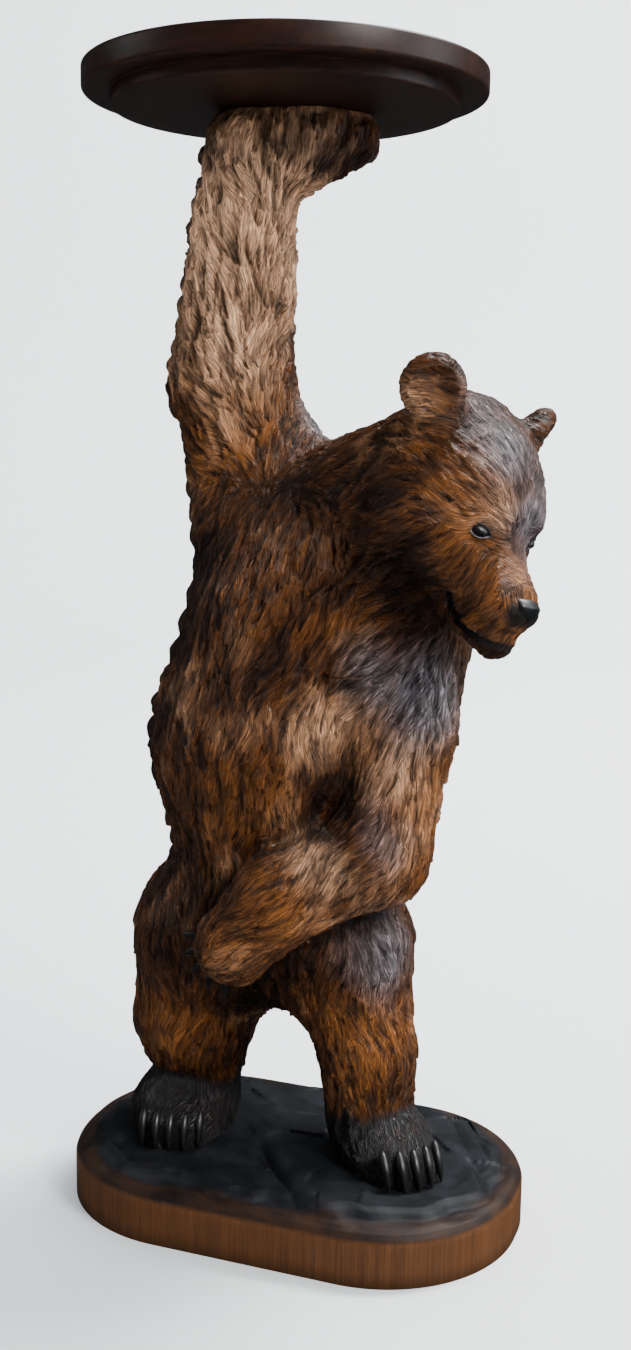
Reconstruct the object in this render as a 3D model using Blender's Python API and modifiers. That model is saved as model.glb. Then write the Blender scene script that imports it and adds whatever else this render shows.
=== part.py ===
"""Carved wooden bear that holds up a turned tray.

Two pieces of wood. The bear and its rock base are carved from one block, and the round tray with a
stepped underside is glued on the bear's raised right paw. Metres, +Z up, the origin at the centre of
the base's underside. The base's length runs along X, to the bear's left, and the bear faces -Y.
"""
import math

import bmesh
import bpy
import numpy as np
from mathutils import Euler, Matrix, Vector

# Driving dimensions
FIGURE_HEIGHT = 0.4562     # from the flat of the rock to the flat top of the raised paw
BASE_LENGTH = 0.210
BASE_WIDTH = 0.132
BASE_CORNER = 0.0625       # radius of the base's ends, seen from above
BASE_SIDE = 0.0190         # height of the base's straight side wall
BASE_TOP = 0.0280          # height of the flat of the rock
TRAY_DIAMETER = 0.1695
TRAY_RIM = 0.0103          # thickness of the tray's rim
TRAY_EDGE = 0.0016         # rounding of the rim's edges
STEP_DIAMETER = 0.1460     # the smaller disc under the tray
STEP_DEPTH = 0.0052
STEP_EDGE = 0.0010
GLUE_GAP = 0.0003          # between the paw and the tray
TRAY_CENTRE = (-8.5, -3.0)     # over the raised paw, in drawn millimetres

# The figure's forms are given in millimetres on a drawn figure, whose raised palm is cut flat this
# far below its top
PALM_CUT = 9.8

# Fineness of the solids
FORM_VOXEL = 2.6           # first mesh of the joined forms, in drawn millimetres
FIGURE_FACES = 6400        # triangles left on the figure
OUTLINE_POINTS = 72        # around the base
TRAY_STEPS = 72
ROUND_STEPS = 3            # segments in a small rounding
BALL_SPACING = 0.6         # between the balls along a form, in radii
SLOPE_STEP = 0.3           # for the slope of the distance, in drawn millimetres
LEAST_SLOPE = 0.4
LONGEST_MOVE = 3.0

# Finishes: colour, roughness
CARVED_BROWN = ((0.17, 0.075, 0.028, 1.0), 0.5)
WALNUT_STAIN = ((0.075, 0.038, 0.022, 1.0), 0.35)

# Forms of the figure: name, start, end, radius at each, then the depth front to back as a share of
# the width, and how widely the form runs into those before it. X to the bear's left, Y to its back,
# Z above the flat of the rock.
BODY = [
    ("pelvis", (-40, 4, 98), (12, 4, 101), 35, 34, 1.12, 0),
    ("belly", (-15, 0, 118), (-14, 0, 188), 39, 51, 1.0, 22),
    ("chest", (-14, 0, 188), (-5, 1, 240), 51, 48.5, 0.95, 16),
    ("shoulders", (-21, 9, 288), (40, 4, 244), 28, 28, 1.0, 22),
    ("nape", (-6, 12, 278), (46, -2, 298), 35, 33, 1.0, 20),
    ("hump", (-27, 20, 304), (-14, 16, 284), 30, 36, 1.0, 14),
    ("throat", (30, -10, 262), (56, -16, 282), 30, 27, 1.0, 14),
    ("right hip", (-44, 8, 88), (-54, 5, 52), 38, 29, 1.0, 16),
    ("right shin", (-53, 5, 52), (-52.5, 7, 18), 28, 20, 1.0, 6),
    ("left hip", (20, 6, 92), (33, 3, 48), 31, 22, 1.0, 16),
    ("left shin", (33, 3, 48), (36, 1, 12), 22, 20, 1.0, 6),
    ("tail", (-16, 42, 84), (-16, 47, 74), 10, 7, 1.0, 8),
]
RIGHT_ARM = [
    ("raised upper arm", (-22, 8, 290), (-36.5, 6, 346), 27, 27.5, 1.0, 0),
    ("raised forearm", (-36.5, 6, 346), (-28, 1, 420), 27.5, 22.5, 1.0, 5),
    ("raised palm", (-22, -3, 438), (2, 6, 447), 23, 19, 1.0, 5),
    ("raised fingers", (2, 6, 447), (16, 12, 447), 19, 12, 1.0, 5),
]
DRAWN_HEIGHT = max(end[2] + last for _, _, end, _, last, _, _ in RIGHT_ARM) - PALM_CUT
UNIT = FIGURE_HEIGHT / DRAWN_HEIGHT
LEFT_ARM = [
    ("left shoulder", (50, 4, 238), (48, -6, 200), 25, 24, 1.0, 0),
    ("left upper arm", (48, -6, 200), (41, -18, 146), 24.5, 24, 1.0, 6),
    ("left forearm", (41, -18, 146), (8, -48, 129), 24, 19, 1.0, 6),
    ("left paw", (8, -48, 129), (-9, -52, 109), 19, 17.5, 1.0, 6),
]
FEET = [
    ("right heel", (-56, 8, 8), (-56, -6, 7), 23, 23, 1.0, 0),
    ("right ball", (-56, -6, 5), (-53, -17, 3), 22, 17, 1.0, 8),
    ("left heel", (38, 4, 7), (47, -6, 6), 18.5, 19.5, 1.0, 0),
    ("left ball", (47, -6, 5), (57, -15, 3), 19.5, 16, 1.0, 8),
]
# Forms of the head, in its own frame: X to the nose, Y to the bear's left, Z up
HEAD_PLACE = (71, -17, 297)
HEAD_TURN = (-13, 30, -32)     # degrees: leant to its left, nose down, turned from X towards -Y
HEAD = [
    ("skull", (-7, 0, 11), (2, 0, 11), 33, 30.5, 1.0, 0),
    ("brow", (18.5, -8, 5), (18.5, 8, 5), 18.5, 18.5, 1.0, 12),
    ("right cheek", (2, -15, -9), (18, -10, -13), 23, 17, 1.0, 12),
    ("left cheek", (2, 15, -9), (18, 10, -13), 23, 17, 1.0, 12),
    ("muzzle", (20, 0, -7), (50, 0, -14), 19.5, 12.5, 1.0, 8),
    ("lips", (26, 0, -15), (50, 0, -18), 17, 13, 1.0, 6),
    ("jaw", (12, 0, -22), (55, 0, -28.5), 17, 9.5, 1.0, 2),
    ("nose", (59.5, -4, -14.5), (59.5, 4, -14.5), 7.2, 7.2, 1.0, 2),
]
LEFT_EAR = (-6, 31, 35)        # the ears aren't quite a pair: the right one stands higher
RIGHT_EAR = (-11, -33, 39.5)
EAR_TURN = (20, 0, 35)
EAR_RADIUS = 14
EAR_THICKNESS = 8
EAR_HOLLOW = 11
EAR_BLEND = 9
HOLLOW_EDGE = 2                # softness of the hollow's edge
EYE_PLACE = (33.5, 15.5, 4.5)
EYE_RADIUS = 3.8
SOCKET_RADIUS = 6.5
SOCKET_AHEAD = (6, 3, 0)
SOCKET_EDGE = 5
EYE_BLEND = 1
HEAD_BLEND = 10
ARM_BLEND = 4                  # the bent arm lies on the belly with a crisp crease
SHOULDER_BLEND = 14
CREASE_TOP = 190               # the crease fades out from this height
CREASE_FADE = 50               # over this much
FOOT_BLEND = 3

# Claws: from the toe to the tip, on each foot and on the bent arm's paw
CLAW_ROOT = 2.6
CLAW_TIP = 1.3
PAW_CLAW_ROOT = 2.1
FOOT_CLAWS = [
    # foot's middle, heading of the toes in degrees from -Y towards X, spread of the toes
    ((-58, -3, 12), 16, (-13, -6.5, 0, 6.5, 13)),
    ((45, -5, 12), 46, (-13, -6.5, 0, 6.5, 13)),
]
CLAW_REACH = 32                # from the foot's middle to the middle claw's tip
CLAW_SET_BACK = 4              # the outer claws stand this far behind the middle one
CLAW_RUN = 6
CLAW_DROP = 13
CLAW_BLEND = 0.8
PAW_MIDDLE = (-9, -55, 109)
PAW_CLAWS = (-6, 16, 38, 60, 82)    # round the paw's edge, in degrees down from level
PAW_CLAW_START = 14            # from the paw's middle to where a claw starts
PAW_CLAW_END = 22

# Mouth: the line between the lips seen from the head's side, X and Z, with how wide and deep it is cut
MOUTH_LINE = [(35.5, -24), (38, -28), (43, -31), (49, -31.5), (56, -30.5), (62, -28.5), (72, -25)]
MOUTH_RADIUS = 1.1
MOUTH_DEPTH = 2.2
MOUTH_EDGE = 0.5

# Locks of hair that show from a step away, in drawn millimetres
LOCK_LENGTH = 17
LOCK_WIDTH = 11
LOCK_RISE = 2.6
LOCK_OVERLAP = 1.7             # a lock's length in rows
LOCK_SWAY = 3.5
LOCK_SOFTNESS = 3              # over which two runs of hair meet
DEEPEST_RUN = 3                # no run counts for more than this many of those inside its form
# Where the locks run: from, to and how far round, each from root to tip
LOCK_RUNS = [
    ((-8, 6, 300), (-14, 4, 70), 50),
    ((-26, 8, 285), (-28, 0, 450), 27),
    ((-44, 8, 105), (-54, 6, 14), 31),
    ((20, 6, 105), (36, 1, 12), 26),
    ((52, 4, 244), (39, -18, 146), 24),
    ((39, -18, 146), (-12, -52, 112), 20),
    ((64, -14, 296), (-6, 12, 276), 34),
]
BARE_HEAD = 5                  # the locks fade out this far outside the head and the feet
FORM_INSET = 0.6               # the locks stand on forms that are drawn in by this

# Rock: (inset from the base's side, height above it) of each ring of its border, as shares of the
# rock's height for the height, and metres for the inset
BORDER = [
    (0.0, 0.0),
    (0.0008, 0.24),
    (0.0024, 0.46),
    (0.0050, 0.58),
    (0.0085, 0.62),
    (0.0110, 0.84),
    (0.0150, 1.0),
]
ROCK_RINGS = [0.024, 0.036, 0.050, 0.0605]
SMOOTH_RINGS = 4               # of the border, where the rock's facets haven't begun
LEAST_REACH = 0.001            # a ring keeps at least this radius in its corners
ROCK_RISE = 0.0012
# Long chisel cuts across the rock: start, end, half width and depth, in metres from the base's centre
ROCK_CUTS = [
    ((-0.004, 0.020), (0.034, -0.048), 0.0045, 0.0022),
    ((0.070, 0.030), (0.088, -0.020), 0.0040, 0.0020),
    ((0.080, 0.034), (0.096, -0.010), 0.0040, 0.0020),
    ((-0.084, 0.006), (-0.070, -0.034), 0.0045, 0.0022),
    ((0.004, -0.030), (0.060, -0.050), 0.0050, 0.0015),
]


def material(name, finish):
    """A plain Principled material with a colour and a roughness."""
    colour, roughness = finish
    made = bpy.data.materials.new(name)
    made.use_nodes = True
    shader = made.node_tree.nodes["Principled BSDF"]
    shader.inputs["Base Color"].default_value = colour
    shader.inputs["Roughness"].default_value = roughness
    shader.inputs["Metallic"].default_value = 0.0
    return made


def new_object(name, mesh, collection):
    """An object with this mesh, in the collection given."""
    made = bpy.data.objects.new(name, mesh)
    collection.objects.link(made)
    return made


def form_distance(points, form):
    """How far each point lies outside a rounded, tapered form; inside is negative."""
    _, start, end, first, last, depth, _ = form
    scale = np.array([1.0, 1.0 / depth, 1.0])
    start = np.array(start, float)
    along = (np.array(end, float) - start) * scale
    from_start = (points - start) * scale
    share = np.clip(from_start @ along / max(along @ along, 1e-9), 0.0, 1.0)
    away = np.linalg.norm(from_start - share[:, None] * along, axis=1)
    return away - (first + (last - first) * share)


def join(one, other, width):
    """Smooth union of two distances: a fillet about as wide as given."""
    if width <= 0:
        return np.minimum(one, other)
    near = np.maximum(width - np.abs(one - other), 0.0) / width
    return np.minimum(one, other) - near * near * width / 4


def cut(solid, cutter, width):
    """Smooth difference: the cutter taken out of the solid."""
    return -join(-solid, cutter, width)


def joined(points, forms):
    """The distance to a run of forms, each blended into those before it."""
    total = form_distance(points, forms[0])
    for form in forms[1:]:
        total = join(total, form_distance(points, form), form[6])
    return total


def head_matrix():
    """From the head's own frame to the figure's."""
    turn = Euler([math.radians(angle) for angle in HEAD_TURN], "XYZ").to_matrix()
    return np.array(turn), np.array(HEAD_PLACE, float)


def disc_distance(points, place, turn, radius, thickness):
    """A thin rounded disc; its axis is the X of its own turned frame."""
    frame = np.array(Euler([math.radians(angle) for angle in turn], "XYZ").to_matrix())
    local = (points - np.array(place, float)) @ frame
    flat = local / np.array([thickness, radius, radius])
    size = np.linalg.norm(flat, axis=1)
    slope = np.linalg.norm(flat / np.array([thickness, radius, radius]), axis=1) + 1e-9
    return size * (size - 1.0) / slope


def head_distance(points):
    """The head with its ears, eyes and mouth, in the head's own frame."""
    total = joined(points, HEAD)
    for place, side in ((LEFT_EAR, 1), (RIGHT_EAR, -1)):
        turn = (EAR_TURN[0] * side, EAR_TURN[1], EAR_TURN[2] * side)
        frame = np.array(Euler([math.radians(angle) for angle in turn], "XYZ").to_matrix())
        ear = disc_distance(points, place, turn, EAR_RADIUS, EAR_THICKNESS)
        total = join(total, ear, EAR_BLEND)
        hollow_place = np.array(place) + frame @ np.array([EAR_THICKNESS, 0.0, 0.0])
        hollow = disc_distance(points, hollow_place, turn, EAR_HOLLOW, EAR_THICKNESS)
        total = cut(total, hollow, HOLLOW_EDGE)
    mirrored = points.copy()
    mirrored[:, 1] = np.abs(mirrored[:, 1])
    socket = np.linalg.norm(mirrored - np.array(EYE_PLACE) - np.array(SOCKET_AHEAD), axis=1)
    total = cut(total, socket - SOCKET_RADIUS, SOCKET_EDGE)
    eye = np.linalg.norm(mirrored - np.array(EYE_PLACE), axis=1) - EYE_RADIUS
    total = join(total, eye, EYE_BLEND)
    from_side = points * np.array([1.0, 0.0, 1.0])
    line = np.full(len(points), np.inf)
    for (x, z), (next_x, next_z) in zip(MOUTH_LINE, MOUTH_LINE[1:]):
        stretch = ("mouth", (x, 0, z), (next_x, 0, next_z), MOUTH_RADIUS, MOUTH_RADIUS, 1.0, 0)
        line = np.minimum(line, form_distance(from_side, stretch))
    return cut(total, np.maximum(line, -total - MOUTH_DEPTH), MOUTH_EDGE)


def claw_forms():
    """The claws on both feet and on the bent arm's paw, as forms."""
    claws = []
    for middle, heading, toes in FOOT_CLAWS:
        ahead = Vector((math.sin(math.radians(heading)), -math.cos(math.radians(heading)), 0))
        aside = Vector((-ahead.y, ahead.x, 0))
        half_spread = max(toes)
        for toe in toes:
            reach = CLAW_REACH - CLAW_SET_BACK * (toe / half_spread) ** 2
            tip = Vector(middle) + aside * toe + ahead * reach
            tip.z = 0.5
            root = tip - ahead * CLAW_RUN + Vector((0, 0, CLAW_DROP))
            claws.append(("claw", tuple(root), tuple(tip), CLAW_ROOT, CLAW_TIP, 1.0, 0))
    for angle in PAW_CLAWS:
        ahead = Vector((-math.cos(math.radians(angle)), 0, -math.sin(math.radians(angle))))
        root = Vector(PAW_MIDDLE) + ahead * PAW_CLAW_START
        tip = Vector(PAW_MIDDLE) + ahead * PAW_CLAW_END
        claws.append(("claw", tuple(root), tuple(tip), PAW_CLAW_ROOT, CLAW_TIP, 1.0, 0))
    return claws


def lock_pattern(along, across):
    """Staggered rows of overlapping pointed locks, each highest near its tip."""
    across = across + LOCK_SWAY * np.sin(along / 13.0)
    along = along + LOCK_SWAY * np.sin(across / 8.0) + LOCK_SWAY * np.sin(across / 19.0 + 1.0)
    row = np.floor(along / LOCK_LENGTH)
    highest = np.zeros(len(along))
    for back in (0, 1):
        share = (along / LOCK_LENGTH - row + back) / LOCK_OVERLAP
        column = across / LOCK_WIDTH + 0.5 * np.mod(row - back, 2)
        side = np.abs(column - np.round(column))
        half_width = 0.75 * np.sqrt(np.clip(1.0 - share, 0.0, 1.0))
        round_over = np.sqrt(np.clip(1.0 - (side / np.maximum(half_width, 1e-6)) ** 2, 0.0, 1.0))
        highest = np.maximum(highest, (0.35 + 0.65 * np.clip(share, 0.0, 1.0)) * round_over)
    return highest - 0.5


def lock_height(points):
    """How far the locks stand out at each point, where the runs of hair meet each other softly."""
    total = np.zeros(len(points))
    weight = np.full(len(points), 1e-9)
    for start, end, radius in LOCK_RUNS:
        start, end = Vector(start), Vector(end)
        axis = (end - start).normalized()
        side = axis.cross(Vector((0, 1, 0))).normalized()
        third = axis.cross(side)
        from_start = points - np.array(start)
        along = from_start @ np.array(axis)
        across = np.arctan2(from_start @ np.array(side), from_start @ np.array(third)) * radius
        away = form_distance(points, ("run", start, end, radius, radius, 1.0, 0))
        near = np.exp(-np.maximum(away, -DEEPEST_RUN * LOCK_SOFTNESS) / LOCK_SOFTNESS)
        total += near * lock_pattern(along, across)
        weight += near
    turn, place = head_matrix()
    bare = joined((points - place) @ turn, HEAD)
    for form in FEET:
        bare = np.minimum(bare, form_distance(points, form))
    haired = np.clip(bare / BARE_HEAD, 0.0, 1.0)
    return LOCK_RISE * haired * total / weight


def figure_distance(points):
    """The whole figure without its locks, in drawn millimetres."""
    total = joined(points, BODY)
    arm = joined(points, RIGHT_ARM)
    total = join(total, arm, SHOULDER_BLEND)
    turn, place = head_matrix()
    total = join(total, head_distance((points - place) @ turn), HEAD_BLEND)
    left_arm = joined(points, LEFT_ARM)
    high = np.clip((points[:, 2] - CREASE_TOP) / CREASE_FADE, 0.0, 1.0)
    crisp = join(total, left_arm, ARM_BLEND)
    soft = join(total, left_arm, SHOULDER_BLEND)
    total = crisp * (1 - high) + soft * high
    total = join(total, joined(points, FEET[:2]), FOOT_BLEND)
    total = join(total, joined(points, FEET[2:]), FOOT_BLEND)
    for claw in claw_forms():
        total = join(total, form_distance(points, claw), CLAW_BLEND)
    return total


def haired_distance(points):
    """The whole figure with its locks."""
    return figure_distance(points) + FORM_INSET - lock_height(points)


def add_form(bm, form, frame=None):
    """Balls along a form, which the remesh makes one with the rest."""
    _, start, end, first, last, depth, _ = form
    start, end = Vector(start), Vector(end)
    count = max(2, int((end - start).length / (BALL_SPACING * min(first, last))) + 2)
    for step in range(count):
        share = step / (count - 1)
        radius = first + (last - first) * share
        place = Matrix.Translation(start.lerp(end, share)) @ Matrix.Diagonal((1, depth, 1, 1))
        if frame is not None:
            place = frame @ place
        bmesh.ops.create_icosphere(bm, subdivisions=2, radius=radius, matrix=place)


def form_balls():
    """The figure's forms as overlapping balls, one mesh."""
    bm = bmesh.new()
    for form in BODY + RIGHT_ARM + LEFT_ARM + FEET + claw_forms():
        add_form(bm, form)
    turn, _ = head_matrix()
    head = Matrix.Translation(HEAD_PLACE) @ Matrix(turn.tolist()).to_4x4()
    for form in HEAD:
        add_form(bm, form, head)
    for place, side in ((LEFT_EAR, 1), (RIGHT_EAR, -1)):
        turn = Euler([math.radians(angle) for angle in (EAR_TURN[0] * side, EAR_TURN[1], EAR_TURN[2] * side)])
        ear = Matrix.LocRotScale(place, turn, (EAR_THICKNESS, EAR_RADIUS, EAR_RADIUS))
        bmesh.ops.create_icosphere(bm, subdivisions=3, radius=1.0, matrix=head @ ear)
    mesh = bpy.data.meshes.new("form balls")
    bm.to_mesh(mesh)
    bm.free()
    return mesh


def edge_smooth(places, edges, rounds, share):
    """Each vertex moved part of the way to the middle of its neighbours."""
    count = np.zeros(len(places))
    np.add.at(count, edges.ravel(), 1)
    for _ in range(rounds):
        total = np.zeros_like(places)
        np.add.at(total, edges[:, 0], places[edges[:, 1]])
        np.add.at(total, edges[:, 1], places[edges[:, 0]])
        places = places + share * (total / count[:, None] - places)
    return places


def draw_to(distance, mesh, rounds):
    """Move the vertices along their normals onto the surface where the distance is nought."""
    for _ in range(rounds):
        places = vertex_array(mesh)
        normals = normal_array(mesh)
        value = distance(places)
        slope = (distance(places + normals * SLOPE_STEP) - value) / SLOPE_STEP
        move = np.clip(value / np.maximum(slope, LEAST_SLOPE), -LONGEST_MOVE, LONGEST_MOVE)
        set_places(mesh, places - normals * move[:, None])


def vertex_array(mesh):
    """The vertices of a mesh as an array."""
    places = np.empty(len(mesh.vertices) * 3)
    mesh.vertices.foreach_get("co", places)
    return places.reshape(-1, 3)


def normal_array(mesh):
    """The vertex normals of a mesh as an array."""
    normals = np.empty(len(mesh.vertices) * 3)
    mesh.vertices.foreach_get("normal", normals)
    return normals.reshape(-1, 3)


def set_places(mesh, places):
    """Give the mesh's vertices new places."""
    mesh.vertices.foreach_set("co", places.ravel())
    mesh.update()


def edge_array(mesh):
    """The edges of a mesh as pairs of vertices."""
    edges = np.empty(len(mesh.edges) * 2, dtype=np.int64)
    mesh.edges.foreach_get("vertices", edges)
    return edges.reshape(-1, 2)


def evaluated(made):
    """The mesh that an object's modifiers give."""
    graph = bpy.context.evaluated_depsgraph_get()
    return bpy.data.meshes.new_from_object(made.evaluated_get(graph))


def modified(name, mesh, collection, kind, **settings):
    """The mesh after one modifier, in a new object that takes the old one's place."""
    made = new_object(name, mesh, collection)
    modifier = made.modifiers.new(kind, kind)
    for setting, value in settings.items():
        setattr(modifier, setting, value)
    result = evaluated(made)
    bpy.data.objects.remove(made)
    return result


def figure_solid(collection, voxel=FORM_VOXEL, distance=haired_distance):
    """The figure's mesh: balls remeshed, drawn up to the blended surface, at its real size and place."""
    mesh = modified("forms", form_balls(), collection, "REMESH", mode="VOXEL", voxel_size=voxel)
    edges = edge_array(mesh)
    for _ in range(2):
        draw_to(figure_distance, mesh, 1)
        set_places(mesh, edge_smooth(vertex_array(mesh), edges, 2, 0.5))
    draw_to(distance, mesh, 2)
    set_places(mesh, vertex_array(mesh) * UNIT + np.array([0.0, 0.0, BASE_TOP]))
    return mesh


def flat_top(mesh):
    """Cut the raised paw flat where the tray is glued on."""
    bm = bmesh.new()
    bm.from_mesh(mesh)
    whole = bm.verts[:] + bm.edges[:] + bm.faces[:]
    top = Vector((0, 0, BASE_TOP + FIGURE_HEIGHT))
    halved = bmesh.ops.bisect_plane(bm, geom=whole, plane_co=top, plane_no=(0, 0, 1), clear_outer=True)
    rim = [edge for edge in halved["geom_cut"] if isinstance(edge, bmesh.types.BMEdge)]
    bmesh.ops.contextual_create(bm, geom=rim)
    bmesh.ops.triangulate(bm, faces=bm.faces[:])
    bm.to_mesh(mesh)
    bm.free()


def outline_place(share, inset):
    """A point on the base's outline, drawn in by the inset, at this share of the way round."""
    corner = min(BASE_CORNER, BASE_WIDTH / 2, BASE_LENGTH / 2)
    half_x, half_y = BASE_LENGTH / 2 - corner, BASE_WIDTH / 2 - corner
    straight = [2 * half_y, 2 * half_x, 2 * half_y, 2 * half_x]
    arc = corner * math.pi / 2
    travel = share * (sum(straight) + 4 * arc)
    corners = [(half_x, half_y), (-half_x, half_y), (-half_x, -half_y), (half_x, -half_y)]
    for number in range(4):
        facing = number * math.pi / 2
        x, y = corners[number]
        if travel <= straight[number]:
            back = straight[number] - travel
            along = (math.sin(facing) * back, -math.cos(facing) * back)
            reach = corner - inset
            return (x + along[0] + math.cos(facing) * reach, y + along[1] + math.sin(facing) * reach)
        travel -= straight[number]
        if travel <= arc or number == 3:
            angle = facing + min(travel / arc, 1.0) * math.pi / 2
            reach = corner - inset
            return (x + math.cos(angle) * reach, y + math.sin(angle) * reach)
        travel -= arc
    raise ValueError("share runs from 0 to 1")


def rock_height(x, y):
    """Height of the rock above its flat: broad chiselled facets and a few long cuts."""
    facets = max(math.sin(61 * x + 37 * y), math.sin(83 * y - 45 * x + 1.0), math.sin(97 * x + 2.0)) - 0.7
    height = ROCK_RISE * facets
    for start, end, half_width, depth in ROCK_CUTS:
        start, end = Vector(start), Vector(end)
        here = Vector((x, y)) - start
        share = min(max(here.dot(end - start) / (end - start).length_squared, 0.0), 1.0)
        away = (here - (end - start) * share).length
        height -= depth * max(0.0, 1.0 - away / half_width)
    return height


def base_mesh():
    """The base: a straight side, a rounded border and the chiselled rock, lofted ring by ring."""
    bm = bmesh.new()
    shares = [number / OUTLINE_POINTS for number in range(OUTLINE_POINTS)]
    ring = [bm.verts.new((*outline_place(share, 0.0), 0.0)) for share in shares]
    edges = [bm.edges.new((ring[number - 1], ring[number])) for number in range(OUTLINE_POINTS)]
    bm.faces.new(list(reversed(ring)))
    levels = [(inset, BASE_SIDE + share * (BASE_TOP - BASE_SIDE)) for inset, share in BORDER]
    levels += [(inset, BASE_TOP) for inset in ROCK_RINGS]
    deepest = min(BASE_CORNER, BASE_WIDTH / 2, BASE_LENGTH / 2) - LEAST_REACH
    for number, (inset, height) in enumerate(levels):
        result = bmesh.ops.extrude_edge_only(bm, edges=edges)
        edges = [item for item in result["geom"] if isinstance(item, bmesh.types.BMEdge)]
        fresh = [item for item in result["geom"] if isinstance(item, bmesh.types.BMVert)]
        order = {vert: place for place, vert in enumerate(ring)}
        placed = {}
        for vert in fresh:
            old = [edge.other_vert(vert) for edge in vert.link_edges if edge.other_vert(vert) in order]
            placed[order[old[0]]] = vert
        ring = [placed[place] for place in range(OUTLINE_POINTS)]
        for share, vert in zip(shares, ring):
            x, y = outline_place(share, min(inset, deepest))
            rock = rock_height(x, y) if number >= SMOOTH_RINGS else 0.0
            vert.co = (x, y, height + rock)
    bm.faces.new(ring)
    bmesh.ops.triangulate(bm, faces=bm.faces[:])
    bmesh.ops.recalc_face_normals(bm, faces=bm.faces[:])
    mesh = bpy.data.meshes.new("base")
    bm.to_mesh(mesh)
    bm.free()
    return mesh


def rounded_corner(x, z, radius, first, last):
    """Points round a turned corner whose centre is given, from one angle to another in degrees."""
    points = []
    for step in range(ROUND_STEPS + 1):
        angle = math.radians(first + (last - first) * step / ROUND_STEPS)
        points.append((x + radius * math.cos(angle), z + radius * math.sin(angle)))
    return points


def tray_profile(underside):
    """The tray's half section, from the middle of its top round to the middle of its underside."""
    step_radius = STEP_DIAMETER / 2
    rim_radius = TRAY_DIAMETER / 2
    rim_low = underside + STEP_DEPTH
    top = rim_low + TRAY_RIM
    profile = [(0.0, top)]
    profile += rounded_corner(rim_radius - TRAY_EDGE, top - TRAY_EDGE, TRAY_EDGE, 90, 0)
    profile += rounded_corner(rim_radius - TRAY_EDGE, rim_low + TRAY_EDGE, TRAY_EDGE, 0, -90)
    profile += [(step_radius, rim_low)]
    profile += rounded_corner(step_radius - STEP_EDGE, underside + STEP_EDGE, STEP_EDGE, 0, -90)
    profile += [(0.0, underside)]
    return profile


def tray_object(collection):
    """The turned tray, centred over the base's middle as the raised paw holds it."""
    underside = BASE_TOP + FIGURE_HEIGHT + GLUE_GAP
    profile = tray_profile(underside)
    mesh = bpy.data.meshes.new("tray")
    edges = [(number, number + 1) for number in range(len(profile) - 1)]
    mesh.from_pydata([(x, 0.0, z) for x, z in profile], edges, [])
    tray = new_object("tray", mesh, collection)
    screw = tray.modifiers.new("Turned", "SCREW")
    screw.steps = TRAY_STEPS
    screw.render_steps = TRAY_STEPS
    screw.use_merge_vertices = True
    screw.merge_threshold = 0.00001
    tray.location = (TRAY_CENTRE[0] * UNIT, TRAY_CENTRE[1] * UNIT, 0.0)
    tray.data.materials.append(material("walnut stain", WALNUT_STAIN))
    return tray


def bear_object(collection, cutters):
    """The bear and its base, one carving."""
    figure = figure_solid(collection)
    flat_top(figure)
    faces = len(figure.polygons)
    figure = modified("figure", figure, collection, "DECIMATE", ratio=FIGURE_FACES / faces)
    bear = new_object("bear", base_mesh(), collection)
    added = new_object("figure form", figure, cutters)
    added.hide_render = True
    added.display_type = "WIRE"
    union = bear.modifiers.new("Figure", "BOOLEAN")
    union.operation = "UNION"
    union.solver = "EXACT"
    union.object = added
    bear.data.materials.append(material("carved wood", CARVED_BROWN))
    return bear


def main():
    """Clear the scene and model the bear and its tray."""
    for old in list(bpy.data.objects):
        bpy.data.objects.remove(old)
    scene = bpy.context.scene
    pieces = bpy.data.collections.new("carved bear")
    cutters = bpy.data.collections.new("cutters")
    scene.collection.children.link(pieces)
    scene.collection.children.link(cutters)
    bear_object(pieces, cutters)
    tray_object(pieces)


main()
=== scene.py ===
"""Looks of a carved wooden bear that holds up a turned tray, laid out as a Blender add-on.

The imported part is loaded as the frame. The bear is carved again here with its fur: the forms of the
solid are joined, drawn to one surface, and cut all over with thousands of small gouge strokes that
follow the lie of the hair. The base, the tray, the claws, the eyes and the nose are pieces of their
own. Metres, +Z up, the bear faces -Y.
"""
import math

import bmesh
import bpy
import numpy as np
from mathutils import Euler, Matrix, Vector, kdtree, noise


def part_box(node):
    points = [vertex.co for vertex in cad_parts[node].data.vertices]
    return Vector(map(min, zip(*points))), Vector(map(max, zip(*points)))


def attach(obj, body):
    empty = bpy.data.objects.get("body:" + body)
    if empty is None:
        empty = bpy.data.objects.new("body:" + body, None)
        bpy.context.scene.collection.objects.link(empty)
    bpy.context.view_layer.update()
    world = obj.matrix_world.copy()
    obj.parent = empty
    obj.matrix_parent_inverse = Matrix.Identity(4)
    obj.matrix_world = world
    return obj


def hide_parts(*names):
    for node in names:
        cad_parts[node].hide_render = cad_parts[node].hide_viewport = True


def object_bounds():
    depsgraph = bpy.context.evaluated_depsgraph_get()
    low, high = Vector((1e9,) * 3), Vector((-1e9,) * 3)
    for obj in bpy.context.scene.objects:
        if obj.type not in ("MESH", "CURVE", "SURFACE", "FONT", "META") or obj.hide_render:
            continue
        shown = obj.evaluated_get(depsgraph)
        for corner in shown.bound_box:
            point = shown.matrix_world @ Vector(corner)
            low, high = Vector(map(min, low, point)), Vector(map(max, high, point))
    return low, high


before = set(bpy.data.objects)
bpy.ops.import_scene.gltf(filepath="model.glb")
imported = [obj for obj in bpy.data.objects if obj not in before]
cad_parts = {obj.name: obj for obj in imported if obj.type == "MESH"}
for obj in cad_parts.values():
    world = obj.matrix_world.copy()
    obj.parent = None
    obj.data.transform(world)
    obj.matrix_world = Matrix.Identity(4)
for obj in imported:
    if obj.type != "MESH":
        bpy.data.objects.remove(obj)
CAD_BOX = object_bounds()
BEAR_LOW, BEAR_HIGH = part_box("bear")
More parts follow.
